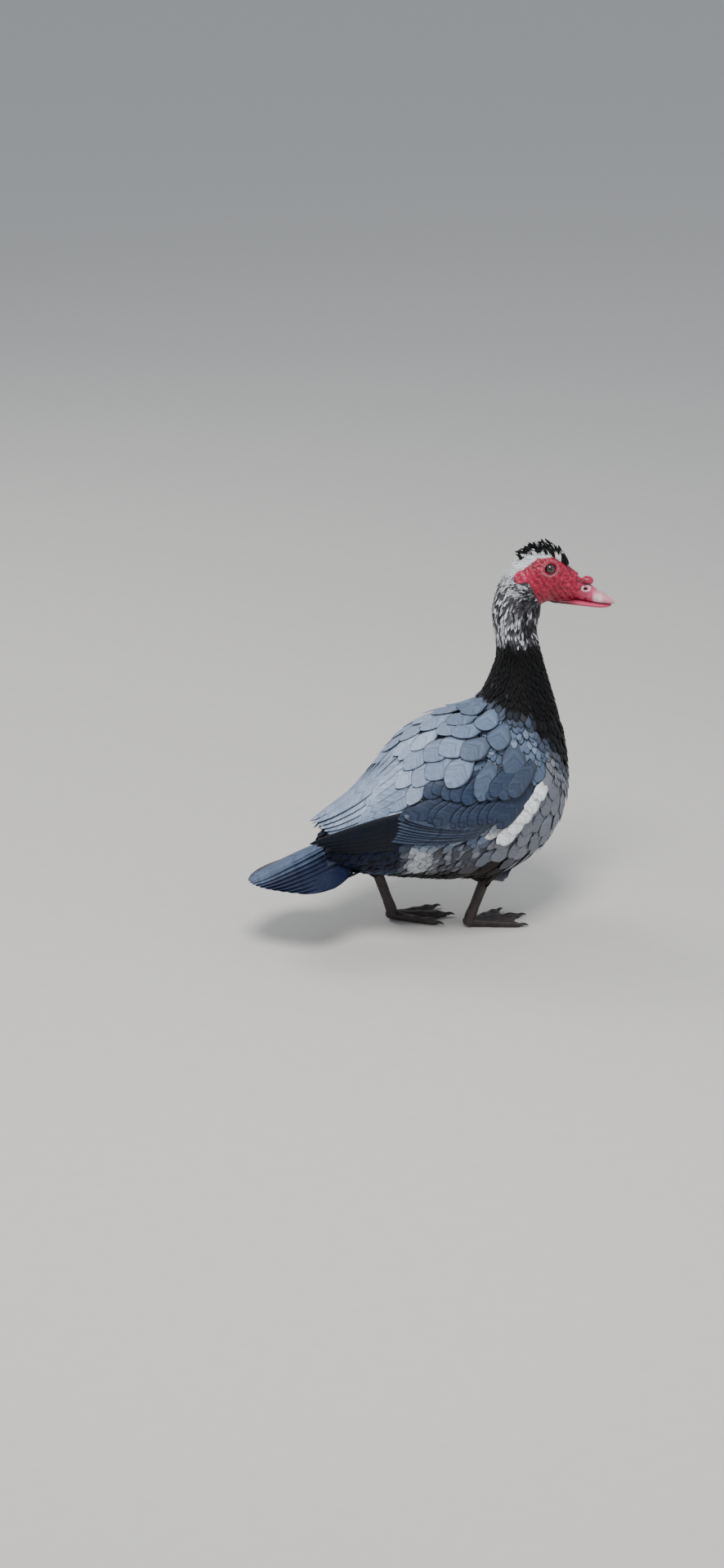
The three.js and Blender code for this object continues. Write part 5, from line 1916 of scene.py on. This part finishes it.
# Name, place in metres, diameter in metres, watts and colour
LAMPS = (
    ("key", (-0.7, -1.3, 3.0), 1.3, 88, (1.0, 0.98, 0.95)),
    ("fill", (2.4, -1.8, 1.2), 2.4, 10, (0.92, 0.96, 1.0)),
    ("back", (-1.2, 2.2, 2.4), 1.6, 34, (1.0, 0.98, 0.95)),
)


def add_lamp(scene, name, place, size, power, tint):
    """A round soft light that faces the bird."""
    data = bpy.data.lights.new(name, "AREA")
    data.shape, data.size, data.energy, data.color = "DISK", size, power, tint
    lamp = bpy.data.objects.new(name, data)
    lamp.location = place
    lamp.rotation_euler = (Vector(AIM_M) - Vector(place)).to_track_quat("-Z", "Y").to_euler()
    scene.collection.objects.link(lamp)


def add_camera(scene):
    """The camera of the picture, aimed so that the ground under the bird falls on its own pixel."""
    sin_a, cos_a = math.sin(VIEW_AZIMUTH), math.cos(VIEW_AZIMUTH)
    sin_e, cos_e = math.sin(VIEW_ELEVATION), math.cos(VIEW_ELEVATION)
    back = np.array([sin_a * cos_e, -cos_a * cos_e, sin_e])
    right = np.array([cos_a, sin_a, 0.0])
    up = np.cross(back, right)
    aside = (IMAGE_SIZE[0] / 2 - GROUND_PIXEL[0]) * VIEW_MM_PER_PIXEL
    above = (GROUND_PIXEL[1] - IMAGE_SIZE[1] / 2) * VIEW_MM_PER_PIXEL
    data = bpy.data.cameras.new("view")
    data.sensor_width = SENSOR_MM
    data.lens = SENSOR_MM * VIEW_DISTANCE / (IMAGE_SIZE[1] * VIEW_MM_PER_PIXEL)
    camera = bpy.data.objects.new("view", data)
    place = Vector(to_frame(right * aside + up * above + back * VIEW_DISTANCE))
    camera.matrix_world = Matrix.Translation(place) @ Matrix((right, up, back)).transposed().to_4x4()
    scene.collection.objects.link(camera)
    scene.camera = camera


class DUCK_OT_stage(bpy.types.Operator):
    """Sets the pale floor, the soft lights and the camera of the picture"""

    bl_idname = "duck.stage"
    bl_label = "Stage"

    def execute(self, context):
        scene = context.scene
        bpy.ops.mesh.primitive_plane_add(size=FLOOR_SIZE_M, location=(0, 0, 0))
        floor = context.active_object
        floor.name = "floor"
        floor.data.materials.append(floor_material())
        world = bpy.data.worlds.new("pale room")
        world.use_nodes = True
        background = world.node_tree.nodes["Background"]
        background.inputs["Color"].default_value = ROOM_LIGHT["colour"]
        background.inputs["Strength"].default_value = ROOM_LIGHT["strength"]
        scene.world = world
        for lamp in LAMPS:
            add_lamp(scene, *lamp)
        add_camera(scene)
        return {"FINISHED"}


STEPS = (
    DUCK_OT_skin,
    DUCK_OT_coat,
    DUCK_OT_wings,
    DUCK_OT_tail,
    DUCK_OT_crest,
    DUCK_OT_eyes,
    DUCK_OT_bill,
    DUCK_OT_legs,
    DUCK_OT_stage,
)


class DUCK_PT_panel(bpy.types.Panel):
    """Lists the duck's pieces in the order they are built"""

    bl_idname = "DUCK_PT_panel"
    bl_label = "Muscovy drake"
    bl_space_type = "VIEW_3D"
    bl_region_type = "UI"
    bl_category = "Muscovy"

    def draw(self, context):
        for step in STEPS:
            self.layout.operator(step.bl_idname)
        for group in ("colours", "sizes"):
            box = self.layout.box()
            values = settings(group)
            for name in type(values).__annotations__:
                box.prop(values, name)


CLASSES = (DuckColours, DuckSizes) + STEPS + (DUCK_PT_panel,)


def register():
    for cls in CLASSES:
        bpy.utils.register_class(cls)
    bpy.types.Scene.duck_colours = PointerProperty(type=DuckColours)
    bpy.types.Scene.duck_sizes = PointerProperty(type=DuckSizes)


def unregister():
    del bpy.types.Scene.duck_sizes
    del bpy.types.Scene.duck_colours
    for cls in reversed(CLASSES):
        bpy.utils.unregister_class(cls)


def main():
    """Builds every piece in order."""
    register()
    for step in STEPS:
        group, name = step.bl_idname.split(".")
        getattr(getattr(bpy.ops, group), name)()


if __name__ == "__main__":
    main()
